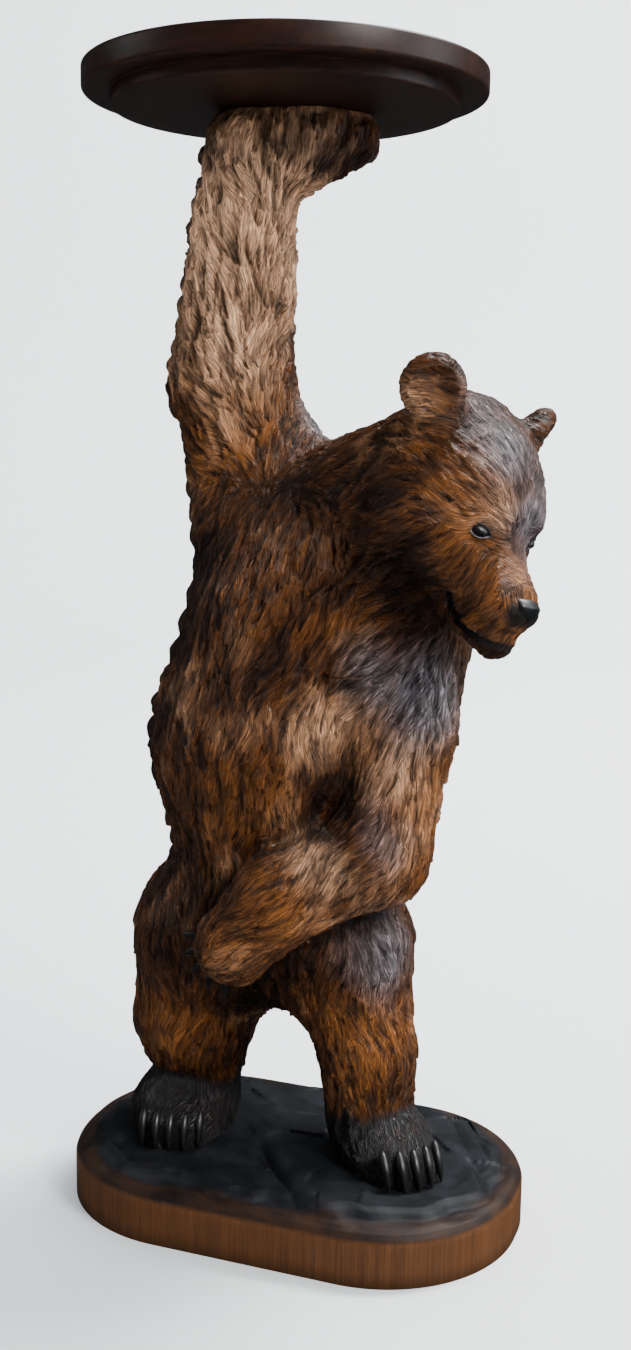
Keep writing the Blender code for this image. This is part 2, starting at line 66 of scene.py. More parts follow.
TRAY_LOW, TRAY_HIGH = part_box("tray")
HEIGHT = CAD_BOX[1].z

bl_info = {
    "name": "Carved bear with a tray",
    "version": (1, 0, 0),
    "blender": (4, 5, 0),
    "location": "3D View > Sidebar > Carved bear",
    "description": "Carves, stains and lights a wooden bear that holds up a turned tray",
    "category": "Add Mesh",
}

SEED = 11

# Base and rock, in metres as the solid has them
BASE_LENGTH = BEAR_LOW.x * -2
BASE_WIDTH = 0.132
BASE_CORNER = 0.0625
BASE_SIDE = 0.0190
BASE_TOP = 0.0280
BORDER = [
    (0.0, 0.0),
    (0.0008, 0.24),
    (0.0024, 0.46),
    (0.0050, 0.58),
    (0.0085, 0.62),
    (0.0110, 0.84),
    (0.0150, 1.0),
]
ROCK_CUTS = [
    ((0.018, -0.050), (-0.017, -0.006), 0.0055, 0.0065),
    ((0.060, 0.050), (0.094, -0.013), 0.0040, 0.0024),
    ((0.071, 0.046), (0.091, 0.010), 0.0035, 0.0018),
    ((-0.080, -0.030), (-0.056, -0.050), 0.0045, 0.0022),
]

SCOOPS = 90
SCOOP_LENGTH = 0.026
SCOOP_WIDTH = 0.015
SCOOP_HEADING = -35
SCOOP_DEPTH = 0.0009
SCOOP_CREST = 1.5
CUT_ENDS = (0.04, 0.96)
HALVINGS = 40              # in the search for the base's outline
BASE_SMOOTH = 40           # edges sharper than this many degrees stay crisp
TRAY_SMOOTH = 35
CORNER_STEPS = 6
CUT_STEEP = 0.4            # how far a cut's sides reach, as shares of its width
CUT_GENTLE = 1.6
FACET_SLOPE = 0.0020
FACET_STEP = 0.0004
BORDER_WANDER = 0.0026
BORDER_WAVES = (130, 170, 23)      # to a metre along and across, and to each radian round
WANDER_FROM = 0.003
WANDER_RUN = 0.004
RELIEF_FROM = 0.004                # the rock's relief sets in this far from the outline
RELIEF_RUN = 0.008
EDGE_CROWDING = 0.12               # the grid is closer towards the outline

# Tray, in metres
TRAY_RIM = 0.0103
TRAY_EDGE = 0.0016
STEP_DIAMETER = 0.1460
STEP_EDGE = 0.0010
STEP_CHAMFER = 0.0004
FLAT_RINGS = (0.2, 0.5, 0.8)       # of the tray's flats, as shares of their radius

# The figure's forms in drawn millimetres above the rock: name, start, end, radius at each, depth as
# a share of the width, and how widely the form runs into those before it
PALM_CUT = 9.8
BODY = [
    ("pelvis", (-40, 4, 98), (12, 4, 101), 35, 34, 1.12, 0),
    ("belly", (-15, 0, 118), (-14, 0, 188), 39, 51, 1.0, 22),
    ("chest", (-14, 0, 188), (-5, 1, 240), 51, 48.5, 0.95, 16),
    ("shoulders", (-21, 9, 288), (40, 4, 244), 28, 28, 1.0, 22),
    ("nape", (-6, 12, 278), (46, -2, 298), 35, 33, 1.0, 20),
    ("hump", (-27, 20, 304), (-14, 16, 284), 30, 36, 1.0, 14),
    ("throat", (30, -10, 262), (56, -16, 282), 30, 27, 1.0, 14),
    ("right hip", (-44, 8, 88), (-54, 5, 52), 38, 29, 1.0, 16),
    ("right shin", (-53, 5, 52), (-52.5, 7, 18), 28, 20, 1.0, 6),
    ("left hip", (20, 6, 92), (33, 3, 48), 31, 22, 1.0, 16),
    ("left shin", (33, 3, 48), (36, 1, 12), 22, 20, 1.0, 6),
    ("tail", (-16, 42, 84), (-16, 47, 74), 10, 7, 1.0, 8),
]
RIGHT_ARM = [
    ("raised upper arm", (-22, 8, 290), (-36.5, 6, 346), 27, 27.5, 1.0, 0),
    ("raised forearm", (-36.5, 6, 346), (-28, 1, 420), 27.5, 22.5, 1.0, 5),
    ("raised palm", (-22, -3, 438), (2, 6, 447), 23, 19, 1.0, 5),
    ("raised fingers", (2, 6, 447), (16, 12, 447), 19, 12, 1.0, 5),
]
LEFT_ARM = [
    ("left shoulder", (50, 4, 238), (48, -6, 200), 25, 24, 1.0, 0),
    ("left upper arm", (48, -6, 200), (41, -18, 146), 24.5, 24, 1.0, 6),
    ("left forearm", (41, -18, 146), (8, -48, 129), 24, 19, 1.0, 6),
    ("left paw", (8, -48, 129), (-9, -52, 109), 19, 17.5, 1.0, 6),
]
FEET = [
    ("right heel", (-56, 8, 8), (-56, -6, 7), 23, 23, 1.0, 0),
    ("right ball", (-56, -6, 5), (-53, -17, 3), 22, 17, 1.0, 8),
    ("left heel", (38, 4, 7), (47, -6, 6), 18.5, 19.5, 1.0, 0),
    ("left ball", (47, -6, 5), (57, -15, 3), 19.5, 16, 1.0, 8),
]
DRAWN_HEIGHT = max(end[2] + last for _, _, end, _, last, _, _ in RIGHT_ARM) - PALM_CUT
UNIT = (BEAR_HIGH.z - BASE_TOP) / DRAWN_HEIGHT

# Head, in its own frame: X to the nose, Y to the bear's left, Z up
HEAD_PLACE = (71, -17, 297)
HEAD_TURN = (-13, 30, -32)
HEAD = [
    ("skull", (-7, 0, 11), (2, 0, 11), 33, 30.5, 1.0, 0),
    ("brow", (18.5, -8, 5), (18.5, 8, 5), 18.5, 18.5, 1.0, 12),
    ("right cheek", (2, -15, -9), (18, -10, -13), 23, 17, 1.0, 12),
    ("left cheek", (2, 15, -9), (18, 10, -13), 23, 17, 1.0, 12),
    ("muzzle", (20, 0, -7), (50, 0, -14), 19.5, 12.5, 1.0, 8),
    ("lips", (26, 0, -15), (50, 0, -18), 17, 13, 1.0, 6),
    ("jaw", (12, 0, -22), (55, 0, -28.5), 17, 9.5, 1.0, 2),
    ("nose", (59, -4, -14), (59, 4, -14), 5.6, 5.6, 1.0, 2),
]
LEFT_EAR = (-6, 31, 35)
RIGHT_EAR = (-11, -33, 39.5)
EAR_TURN = (20, 0, 35)
EAR_RADIUS = 14
EAR_THICKNESS = 8
EAR_HOLLOW = 11
EAR_BLEND = 9
HOLLOW_AHEAD = 1.5         # of the ear's face
HOLLOW_EDGE = 2
EYE_PLACE = (33.5, 15.5, 4.5)
SOCKET_RADIUS = 6.5
SOCKET_AHEAD = (6, 3, 0)
SOCKET_EDGE = 5
HEAD_BLEND = 10
ARM_BLEND = 4
SHOULDER_BLEND = 14
CREASE_TOP = 190
CREASE_FADE = 50
FOOT_BLEND = 3
MOUTH_LINE = [(35.5, -24), (38, -28), (43, -31), (49, -31.5), (56, -30.5), (62, -28.5), (72, -25)]
MOUTH_RADIUS = 0.9
MOUTH_DEPTH = 2.0
MOUTH_FADE = 0.8
MOUTH_FADE_FROM = 48
MOUTH_FADE_RUN = 8
MOUTH_EDGE = 0.5

EYE_SET_BACK = 1.5
EYE_SIZE = (3.3, 4.0, 2.4)
LID_SIZE = (4.6, 2.6)
LID_AHEAD = 1.5
NOSE_PLACE = (57.4, 0, -13.8)
NOSE_SIZE = (7.1, 8.2, 7.3)
NOSE_SQUARENESS = 0.2
NOSE_WIDEN = (0.86, 0.22)          # width at the middle and what it gains to the top, as shares
NOSE_DEEPEN = 0.16
NOSE_FLAT = 0.72                   # above this height the ball is pressed flatter
NOSTRIL = (0.42, -0.12, 0.2, 0.2)  # place to the side and up, size and depth, as shares
LID_THICKNESS = 0.12
LID_PROUD = 3
LID_RIM = 1.5
LID_ALMOND = 0.3                   # how much lower the ring is at its ends
LID_WAY = (0.80, 0.60, 0.10)

# Claws
CLAW_ROOT = 2.6
CLAW_TIP = 1.3
PAW_CLAW_ROOT = 2.1
CLAW_HOOK = 0.12           # as a share of the length
CLAW_DEEPER = 1.15         # depth as a share of the width
CLAW_FOOT = 0.5            # height of a foot claw's tip
CLAW_SINK = 0.001          # a claw goes no further than this into the rock, in metres
STEEP_CLAW = 0.9           # a claw that points down more than this takes its top from another way
STEEP_CLAW_TOP = (0, -0.4, 1)
FOOT_CLAWS = [
    ((-58, -3, 12), 16, (-13, -6.5, 0, 6.5, 13)),
    ((45, -5, 12), 46, (-13, -6.5, 0, 6.5, 13)),
]
CLAW_REACH = 32
CLAW_SET_BACK = 4
CLAW_RUN = 6
CLAW_DROP = 13
PAW_MIDDLE = (-9, -55, 109)
PAW_CLAWS = (-6, 16, 38, 60, 82)    # round the paw's edge, in degrees down from level
PAW_CLAW_START = 14
PAW_CLAW_END = 22

# Locks of hair that show from a step away
LOCK_LENGTH = 17
LOCK_WIDTH = 11
LOCK_RISE = 2.6
LOCK_OVERLAP = 1.7
LOCK_RISE_SHARE = 0.2
LOCK_SWAY = 3.5
LOCK_WAVES = (13.0, 8.0, 19.0)     # the sway's waves, in drawn millimetres to a radian
LOCK_HALF_WIDTH = 0.75     # at the root, as a share of the width
LOCK_ROOT = 0.35           # height at the root, as a share of the rise
LOCK_SOFTNESS = 3
DEEPEST_RUN = 3
LOCK_RUNS = [
    ((-8, 6, 300), (-14, 4, 70), 50),
    ((-26, 8, 285), (-28, 0, 450), 27),
    ((-44, 8, 105), (-54, 6, 14), 31),
    ((20, 6, 105), (36, 1, 12), 26),
    ((52, 4, 244), (39, -18, 146), 24),
    ((39, -18, 146), (-12, -52, 112), 20),
    ((64, -14, 296), (-6, 12, 276), 34),
]
BACK_WAY = (-0.85, 0.53, 0.0)
BACK_FROM = 0.2            # how squarely a place must face that way
BACK_SHARPNESS = 2.2
BACK_LOW = 118
BACK_HIGH = 300
BACK_FADE = 20
BACK_OFF_HEAD = 6
BACK_LOCK = 11
BACK_RISE = 4.2
ARM_BACK_LOCK = 9
ARM_BACK_RISE = 2.3
SCALLOP_COLUMNS = 4            # to each radian round the body
SCALLOP_HALF_WIDTH = 0.62
SCALLOP_FLOOR = 0.6
SCALLOP_SHIFT = (0.5, 4)       # how far the rows rise and fall, in rows, and the waves to a radian round
SCALLOP_DRIFT = (0.3, 2.3)     # the same down the body, and the wave's length in rows
SCALLOP_BOLD = (0.8, 0.35, 1.7, 2)     # least, how much it varies, and its waves down and round
SCALLOP_LEAN = 1.4
SCALLOP_FULLNESS = 0.6
# Painted shade on the raised arm and the head where they face away from the main light
SHADED_SIDE_WAY = (-0.95, 0.3, 0.0)
SHADED_SIDE_FROM = 0.35      # how squarely a place must face that way
SHADED_SIDE_LOW = 250
BARE_HEAD = 5
FORM_INSET = 0.6

# How the surface is made
BALL_SPACING = 0.6
ROUGH_VOXEL = 2.6
FORM_VOXEL = 1.7
SLOPE_STEP = 0.3
LEAST_SLOPE = 0.4
LONGEST_MOVE = 3.0
ROCK_SINK = 3.0            # the legs run this far into the rock

# The lie of the hair: root, tip, how far round, then the strokes' length, width and depth
HAIR = [
    ("raised forearm", (-28, 1, 456), (-36, 6, 346), 24, 16, 4.2, 2.0),
    ("raised upper arm", (-36, 6, 346), (-20, 6, 282), 27, 16, 4.0, 1.9),
    ("torso", (-10, 4, 280), (-14, 0, 110), 50, 15, 3.2, 0.95),
    ("right leg", (-44, 8, 105), (-54, 6, 14), 31, 13, 2.8, 0.8),
    ("left leg", (20, 6, 105), (36, 1, 12), 26, 13, 2.8, 0.8),
    ("left upper arm", (56, 4, 250), (38, -18, 150), 24, 15, 3.2, 1.1),
    ("left forearm", (41, -18, 146), (-12, -52, 112), 20, 12, 2.6, 0.8),
    ("throat", (66, -30, 262), (14, -24, 232), 26, 20, 4.6, 1.7),
    ("neck", (66, -24, 292), (4, -14, 270), 32, 24, 5.4, 2.3),
    ("nape", (64, -2, 304), (-6, 16, 292), 32, 18, 4.2, 1.2),
    ("right foot", (-56, 8, 20), (-54, -22, 4), 20, 8, 2.0, 0.5),
    ("left foot", (38, 6, 18), (58, -18, 4), 18, 8, 2.0, 0.5),
]
HEAD_STROKE = (9, 2.3, 0.42)
EAR_STROKE = (12, 3.0, 0.7)
HAIR_SOFTNESS = 6
HEAD_HAIR_SOFTNESS = 2.5
HEAD_HAIR_WEIGHT = 2.0
CHEEK_FALL = (8, 20, 0.7)          # below this height the hair turns down, over this run, this much
MUZZLE_FALL = (16, 14, 2, 8, 3)    # the same ahead of this place, and how strongly
EAR_HAIR_WEIGHT = 4
EAR_HAIR_REACH = 2
ARMPIT = (-4, -22, 304)
ARMPIT_LOCKS = (-22, -20, 292)
ARMPIT_REACH = 52
ARMPIT_PULL = 3.0
ARMPIT_BACK = (20, 20)             # the swirl ends here towards the back, over this run
ARMPIT_SIDE = (45, 30)             # and here towards the head
ARM_SLANT = 0.9
ARM_SLANT_WAY = (-0.94, -0.35, 0.0)
ARM_SLANT_LOW = 312
ARM_SLANT_HIGH = 440
ARM_SLANT_FADE = 20
ARM_SLANT_SIDE = 20
ARM_SLANT_ROUND = 0.25             # how far round from that way the slant still shows
SLOW_SWAY = 0.34                   # in radians, and its waves in drawn millimetres to a radian
SLOW_WAVES = (9, 17, 11, 13)
QUICK_SWAY = 0.18
QUICK_WAVES = (5.5, 7)
STROKE_COVER = 2.2
STROKE_VARIES = (0.75, 0.5)        # least size and how much more by chance, as shares
STROKE_SWELL = (0.55, 0.45)        # depth at the start and how much more further on, as shares
FEWEST_VERTICES = 4                # a stroke that meets fewer isn't cut
SAME_SIDE = 0.3                    # how nearly a vertex must face as the stroke does
STROKE_TAPER = 0.35        # how much narrower a stroke ends than it begins
STROKE_SCATTER = 0.5       # the strokes' turn out of the lie of the hair, in radians
FINE_COVER = 0.6           # the finer strokes, as shares of the main ones
FINE_SIZES = (0.6, 0.5, 0.4)
FINE_LEAST_WIDTH = 1.3
FINE_SCATTER = 0.7
FINE_DEPTH = 0.8
STROKE_STAND = 0.45        # the uncut wood stands this much above the form, as a share of the depth
HAIR_ROUNDS = 6
EVEN_AT_ARMPIT = 0.85      # how much of the locks goes where the hair swirls
NEAR_SHADE = (7, 0.6)      # painted shade: how far out another form darkens the colour, and how much
FAR_SHADE = (18, 0.5)
PALM_FLAT = (0.4, 1.5)     # the strokes end this far below the paw's flat, over this height
COARSEST = 5.0
COMB_SHARPNESS = 6
COMB_KEEPS = 0.3
COMB_TAKES = 0.7
SPREAD = 1.6               # standard deviations to a value of one
STREAK_ROUNDS = 40
STREAK_RISE = 0.3          # as a share of the stroke's depth
PATCH_ROUNDS = 60
PATCH_SIZE = 24.0
PATCH_VERTICES = 280
PATCH_SHIFT = 400
FOOT_FLAT = 2              # the strokes set in over this height, under the rock
EAR_CLEAR = 4              # the locks set in over this distance from an ear
GROOVE_FULL = (1.3, 0.2)   # depth of a full groove, as a share of the stroke's, and the least
TONE_SHARES = (0.7, 0.3)   # of the main strokes and the fine ones
SHADE_ROUNDS = 3
BARE_DARK = 0.8
EYE_BARE = (1.6, 5)        # how bare at the eye's middle, and over how many millimetres it ends
NOSE_BARE = 2

# Fineness of the base and the tray
BASE_GRID = (220, 150)
SIDE_STEPS = 10
TRAY_SIDES = 192
INSIDE = 0.00001           # the tray's rim and the base's foot keep this far inside the solid's box

# Marks on the carved wood, across and along the hair to a millimetre, and how wide of the mark's middle
LEAF_MARKS = (0.34, 0.062)
LEAF_CREASE = 0.08
BOLD_FROM = 0.45           # coarseness of stroke from which the leaf marks show, and where they are full
BOLD_FULL = 0.8
DARK_LINES = (0.85, 0.05, 0.06)
FINE_LINES = (1.9, 0.11, 0.09)
GLINT_LINES = (0.95, 0.06, 0.05)
WARM_RANGE = (-0.1, 0.9)   # a mask's values from which its stain shows and where it is full, and how full
PALE_RANGE = (0.1, 0.85)
DARK_RANGE = (0.15, 0.95, 0.0, 0.9)
# The painted sheen: a grey-blue reflection painted into the colour
SHEEN_RANGE = (0.2, 0.9, 0.0, 0.9)
GROOVE_RANGE = (0.35, 1.0, 0.0, 0.75)
TONE_DIM = (0.78, 1.22)    # brightness at the least of a mark and at its most
LEAF_DIM = (0.85, 1.15)
# Dimming by the leaf creases and the cut lines is painted shade in the cuts, with dark stain in them
CREASE_DIM = (1.05, 0.55)
LINE_DIM = (1.12, 0.45)
FINE_LINE_DIM = (1.05, 0.75)
SHADE_DIM = (1.0, 0.3)
# Painted glints: thin highlights brightened into the colour, strongest where the painted sheen is
SHINE = (0.6, 2.2)
SHINE_FLOOR = 0.94
SOOT_SHARE = 0.95
RAGGED_STREAK = 0.3
RAGGED = 0.16              # how far the streaks carry the edge of a stained place
CARVED_ROUGHNESS = (0.30, 0.55)
ROUGHNESS_VARIES = (-0.04, 0.06)
CARVED_GLOSS = 0.26
CARVED_BUMP = 0.0009
LEAF_HEIGHT = 0.6          # of the marks, as shares of the bump
LINE_HEIGHT = 0.5
FINE_LINE_HEIGHT = 0.25
GLINT_HEIGHT = 0.35

# The base, the tray and the small pieces
BASE_GRAIN = (700.0, 700.0, 16.0)
TRAY_GRAIN = (22.0, 260.0, 260.0)
GRAIN_RANGE = (0.35, 0.65)
FOOT_DIM = (0.007, 0.55)   # the base's side is dimmed below this height, down to this share
BORDER_RAGGED = 0.012
EDGE_RANGE = (0.0001, 0.0009)
ROCK_RANGE = (0.0065, 0.0095)
BASE_ROUGHNESS = 0.55
BASE_GLOSS = 0.14
BASE_BUMP = 0.0006
BASE_BUMP_STRENGTH = 0.35
TRAY_ROUGHNESS = 0.40
TRAY_GLOSS = 0.18
LACQUER_ROUGHNESS = (0.34, 0.5)
LID_ROUGHNESS = 0.4
PAPER_ROUGHNESS = 0.9

# Camera of the photograph, and the studio round it
CAMERA_PLACE = (0.2341, -0.61645, 0.35205)
CAMERA_TURN = (20.24, -9.137, 0.716)
CAMERA_LENS = 40.19
CAMERA_SENSOR = 36.0
SWEEP_FLOOR = 1.8
SWEEP_CURVE = 0.8
SWEEP_TOP = 2.4
SWEEP_STEPS = 12
AIM_HEIGHT = 0.55                  # of the object's height, where the lights are aimed
AIR_COLOUR = (0.9, 0.94, 1.0, 1)
MAIN_LIGHT = ("main_light", (1.15, -0.55, 1.15), 0.5, (1.0, 0.98, 0.95))
SIDE_LIGHT = ("side_light", (-1.2, -0.5, 0.9), 0.5, (0.92, 0.96, 1.0))
WINDOW_LIGHT = ("window_light", (1.25, 0.3, 0.7), 0.7, (0.80, 0.90, 1.0))
TOP_LIGHT = ("top_light", (0.45, 0.75, 1.5), 0.6, (0.90, 0.95, 1.0))
WALL_LIGHT = ("wall_light", (0.7, 1.0, 2.3), 1.2, (1, 1, 1))
WALL_AIM = (-0.5, 2.6, 0.5)

# Where the carving is parted: each piece with its planes, as the axis, the place and the piece's side
WAIST = 172
HIPS = 92
HEAD_SIDE = 26
JAW_FLOOR = 224
ARM_ROOT = 345

PIECES = (
    ("carved_legs", ((2, HIPS, -1),)),
    ("carved_belly", ((2, HIPS, 1), (2, WAIST, -1))),
    ("carved_chest", ((2, WAIST, 1), (2, ARM_ROOT, -1), (0, HEAD_SIDE, -1))),
    ("carved_head", ((2, JAW_FLOOR, 1), (0, HEAD_SIDE, 1))),
    ("carved_shoulder", ((2, WAIST, 1), (2, JAW_FLOOR, -1), (0, HEAD_SIDE, 1))),
    ("carved_raised_arm", ((2, ARM_ROOT, 1),)),
)
ON_PLANE = 0.01
CAP_INSET = 6.0
CAP_SINK = 1.2
MOVED = ("moved_x", "moved_y", "moved_z")
WHOLE = ("whole_x", "whole_y", "whole_z")

# Black stain on the feet: height of its hem, how ragged it is and over what height it fades
SOOT_HEM = 25
SOOT_RAGGED = 2.5
SOOT_FADE = 4
SOOT_WAVES = (2.3, 3.1, 1.1)       # the hem's waves, in drawn millimetres to a radian
FOOT_SOOT = (1.8, 2)               # on a form of the foot, and over how many drawn millimetres it ends
MOUTH_SOOT = (1.9, 0.9)            # the same on the line of the mouth
MOUTH_SOOT_FROM = 28
MOUTH_SOOT_REACH = 3
NOSE_SOOT = 1.5

# Dark stain on the jaw
JAW_DARK = 0.7
JAW_REACH = 4
JAW_EDGE = (1, 3)                  # how far above the line of the mouth it starts, and over what height
JAW_FROM = (24, 10)                # where it starts along the head, and over what length

# Stain, painted shade and painted sheen, in drawn millimetres: middle of the place, radius, how much
# Dark stain, and painted shade in the armpits, under the chin and the tray, between the legs and on the side
# away from the main light
DARK_STAIN_AND_SHADE_PLACES = [
    ((-2, -26, 296), 24, 0.7),
    ((58, -44, 268), 24, 0.75),
    ((-52, -20, 262), 36, 0.8),
    ((-60, -10, 190), 34, 0.7),
    ((-10, -42, 222), 22, 0.5),
    ((33, -36, 176), 18, 1.0),
    ((26, -46, 166), 13, 0.9),
    ((-34, -26, 116), 30, 1.0),
    ((-10, -30, 70), 26, 1.0),
    ((84, -30, 250), 16, 0.75),
    ((-50, -10, 436), 17, 0.9),
    ((22, -6, 432), 18, 0.8),
    ((24, -26, 98), 20, 0.8),
    ((46, -44, 292), 13, 0.7),
    ((50, -20, 118), 16, 0.6),
]
PALE_PLACES = [
    ((-20, -26, 410), 44, 1.0),
    ((-20, -26, 366), 30, 0.8),
    ((0, -26, 446), 26, 0.6),
    ((66, -34, 186), 22, 0.45),
    ((64, -34, 158), 18, 0.3),
    ((30, -46, 208), 20, 0.75),
    ((30, -50, 144), 17, 0.6),
    ((62, -48, 332), 15, 0.4),
    ((97, -42, 295), 8, 0.5),
]
WARM_PLACES = [
    ((108, -44, 262), 24, 0.9),
    ((84, -50, 286), 18, 0.8),
    ((4, -50, 262), 20, 0.6),
    ((-10, -52, 168), 30, 0.45),
    ((46, -24, 62), 30, 1.0),
    ((-50, -26, 52), 22, 0.65),
    ((16, -60, 132), 22, 0.9),
    ((66, -34, 170), 34, 1.0),
    ((-22, -26, 330), 36, 1.0),
    ((-10, -64, 112), 16, 0.7),
    ((60, -46, 330), 16, 0.7),
    ((88, -52, 300), 22, 0.8),
    ((30, -48, 206), 24, 0.9),
    ((30, -46, 240), 18, 0.6),
]
# Painted sheen: the grey-blue reflection of the cool lights on the head, the hump, the chest, the elbow and
# the hip
SHEEN_PLACES = [
    ((92, -26, 338), 26, 0.5),
    ((98, -32, 318), 18, 0.9),
    ((112, -30, 290), 17, 1.0),
    ((68, -26, 216), 26, 1.0),
    ((-2, 22, 326), 20, 0.9),
    ((44, -36, 222), 18, 0.9),
    ((50, -38, 158), 15, 0.7),
    ((54, -16, 98), 24, 1.0),
]


def deselect():
    """Nothing is selected or in edit mode."""
    if bpy.context.object and bpy.context.object.mode != "OBJECT":
        bpy.ops.object.mode_set(mode="OBJECT")
    bpy.ops.object.select_all(action="DESELECT")


def activate(made):
    """Only this object is selected and active."""
    deselect()
    made.select_set(True)
    bpy.context.view_layer.objects.active = made


def finish_modifier(made, kind, **settings):
    """Add one modifier and apply it."""
    activate(made)
    modifier = made.modifiers.new(kind, kind)
    for setting, value in settings.items():
        setattr(modifier, setting, value)
    bpy.ops.object.modifier_apply(modifier=modifier.name)


def new_piece(name, mesh):
    """An object of the scene with this mesh."""
    made = bpy.data.objects.new(name, mesh)
    bpy.context.scene.collection.objects.link(made)
    return made


def belongs(made, node):
    """The piece stands for a node of the frame and moves with it."""
    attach(made, "root")
    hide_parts(node)


def vertex_array(mesh):
    """The vertices of a mesh as an array."""
    places = np.empty(len(mesh.vertices) * 3, dtype=np.float32)
    mesh.vertices.foreach_get("co", places)
    return places.reshape(-1, 3).astype(float)


def normal_array(mesh):
    """The vertex normals of a mesh as an array."""
    normals = np.empty(len(mesh.vertices) * 3, dtype=np.float32)
    mesh.vertices.foreach_get("normal", normals)
    return normals.reshape(-1, 3).astype(float)


def set_places(mesh, places):
    """Give the mesh's vertices new places."""
    mesh.vertices.foreach_set("co", places.astype(np.float32).ravel())
    mesh.update()


def edge_array(mesh):
    """The edges of a mesh as pairs of vertices."""
    edges = np.empty(len(mesh.edges) * 2, dtype=np.int32)
    mesh.edges.foreach_get("vertices", edges)
    return edges.reshape(-1, 2)


def edge_smooth(values, edges, rounds, share):
    """Each vertex's value drawn part of the way to the mean of its neighbours."""
    values = np.array(values, float)
    if values.ndim == 1:
        return edge_smooth(values[:, None], edges, rounds, share)[:, 0]
    size = len(values)
    count = np.bincount(edges.ravel(), minlength=size)
    for _ in range(rounds):
        total = np.empty_like(values)
        for column in range(values.shape[1]):
            total[:, column] = np.bincount(edges[:, 0], values[edges[:, 1], column], size)
            total[:, column] += np.bincount(edges[:, 1], values[edges[:, 0], column], size)
        values = values + share * (total / count[:, None] - values)
    return values


def add_attribute(mesh, name, values):
    """A number for each vertex that the materials read."""
    attribute = mesh.attributes.new(name, "FLOAT", "POINT")
    attribute.data.foreach_set("value", values.astype(np.float32))


def unit_rows(rows):
    """Each row at length one."""
    return rows / np.maximum(np.linalg.norm(rows, axis=1), 1e-9)[:, None]


def form_distance(points, form):
    """How far each point lies outside a rounded, tapered form; inside is negative."""
    _, start, end, first, last, depth, _ = form
    scale = np.array([1.0, 1.0 / depth, 1.0])
    start = np.array(start, float)
    along = (np.array(end, float) - start) * scale
    from_start = (points - start) * scale
    share = np.clip(from_start @ along / max(along @ along, 1e-9), 0.0, 1.0)
    away = np.linalg.norm(from_start - share[:, None] * along, axis=1)
    return away - (first + (last - first) * share)


def join(one, other, width):
    """Smooth union of two distances: a fillet about as wide as given."""
    if width <= 0:
        return np.minimum(one, other)
    near = np.maximum(width - np.abs(one - other), 0.0) / width
    return np.minimum(one, other) - near * near * width / 4


def cut(solid, cutter, width):
    """Smooth difference: the cutter taken out of the solid."""
    return -join(-solid, cutter, width)


def joined(points, forms):
    """The distance to a run of forms, each blended into those before it."""
    total = form_distance(points, forms[0])
    for form in forms[1:]:
        total = join(total, form_distance(points, form), form[6])
    return total


def turn_array(turn):
    """A turn in degrees as an array."""
    return np.array(Euler([math.radians(angle) for angle in turn], "XYZ").to_matrix())


HEAD_AXES = turn_array(HEAD_TURN)
HEAD_MATRIX = Matrix.Translation(HEAD_PLACE) @ Matrix(HEAD_AXES.tolist()).to_4x4()


def to_head(points):
    """Drawn places in the head's own frame."""
    return (points - np.array(HEAD_PLACE, float)) @ HEAD_AXES


def ear_turn(side):
    """The turn of the ear on one side of the head."""
    return (EAR_TURN[0] * side, EAR_TURN[1], EAR_TURN[2] * side)


def disc_distance(points, place, turn, radius, thickness):
    """A thin rounded disc; its axis is the X of its own turned frame."""
    local = (points - np.array(place, float)) @ turn_array(turn)
    flat = local / np.array([thickness, radius, radius])
    size = np.linalg.norm(flat, axis=1)
    slope = np.linalg.norm(flat / np.array([thickness, radius, radius]), axis=1) + 1e-9
    return size * (size - 1.0) / slope


def mouth_distance(head_places, radius):
    """How far places of the head lie from the line of the mouth, seen from the side."""
    from_side = head_places * np.array([1.0, 0.0, 1.0])
    line = np.full(len(head_places), np.inf)
    for (x, z), (next_x, next_z) in zip(MOUTH_LINE, MOUTH_LINE[1:]):
        stretch = ("mouth", (x, 0, z), (next_x, 0, next_z), radius, radius, 1.0, 0)
        line = np.minimum(line, form_distance(from_side, stretch))
    return line


def head_distance(points):
    """The head with its ears, eye sockets and mouth, in the head's own frame."""
    total = joined(points, HEAD)
    for place, side in ((LEFT_EAR, 1), (RIGHT_EAR, -1)):
        turn = ear_turn(side)
        ear = disc_distance(points, place, turn, EAR_RADIUS, EAR_THICKNESS)
        total = join(total, ear, EAR_BLEND)
        hollow_place = np.array(place) + turn_array(turn) @ np.array([EAR_THICKNESS + HOLLOW_AHEAD, 0.0, 0.0])
        hollow = disc_distance(points, hollow_place, turn, EAR_HOLLOW, EAR_THICKNESS)
        total = cut(total, hollow, HOLLOW_EDGE)
    mirrored = points.copy()
    mirrored[:, 1] = np.abs(mirrored[:, 1])
    socket = np.linalg.norm(mirrored - np.array(EYE_PLACE) - np.array(SOCKET_AHEAD), axis=1)
    total = cut(total, socket - SOCKET_RADIUS, SOCKET_EDGE)
    line = mouth_distance(points, MOUTH_RADIUS)
    fade = np.clip((points[:, 0] - MOUTH_FADE_FROM) / MOUTH_FADE_RUN, 0, 1)
    depth = MOUTH_DEPTH * (1 - MOUTH_FADE * fade)
    return cut(total, np.maximum(line, -total - depth), MOUTH_EDGE)


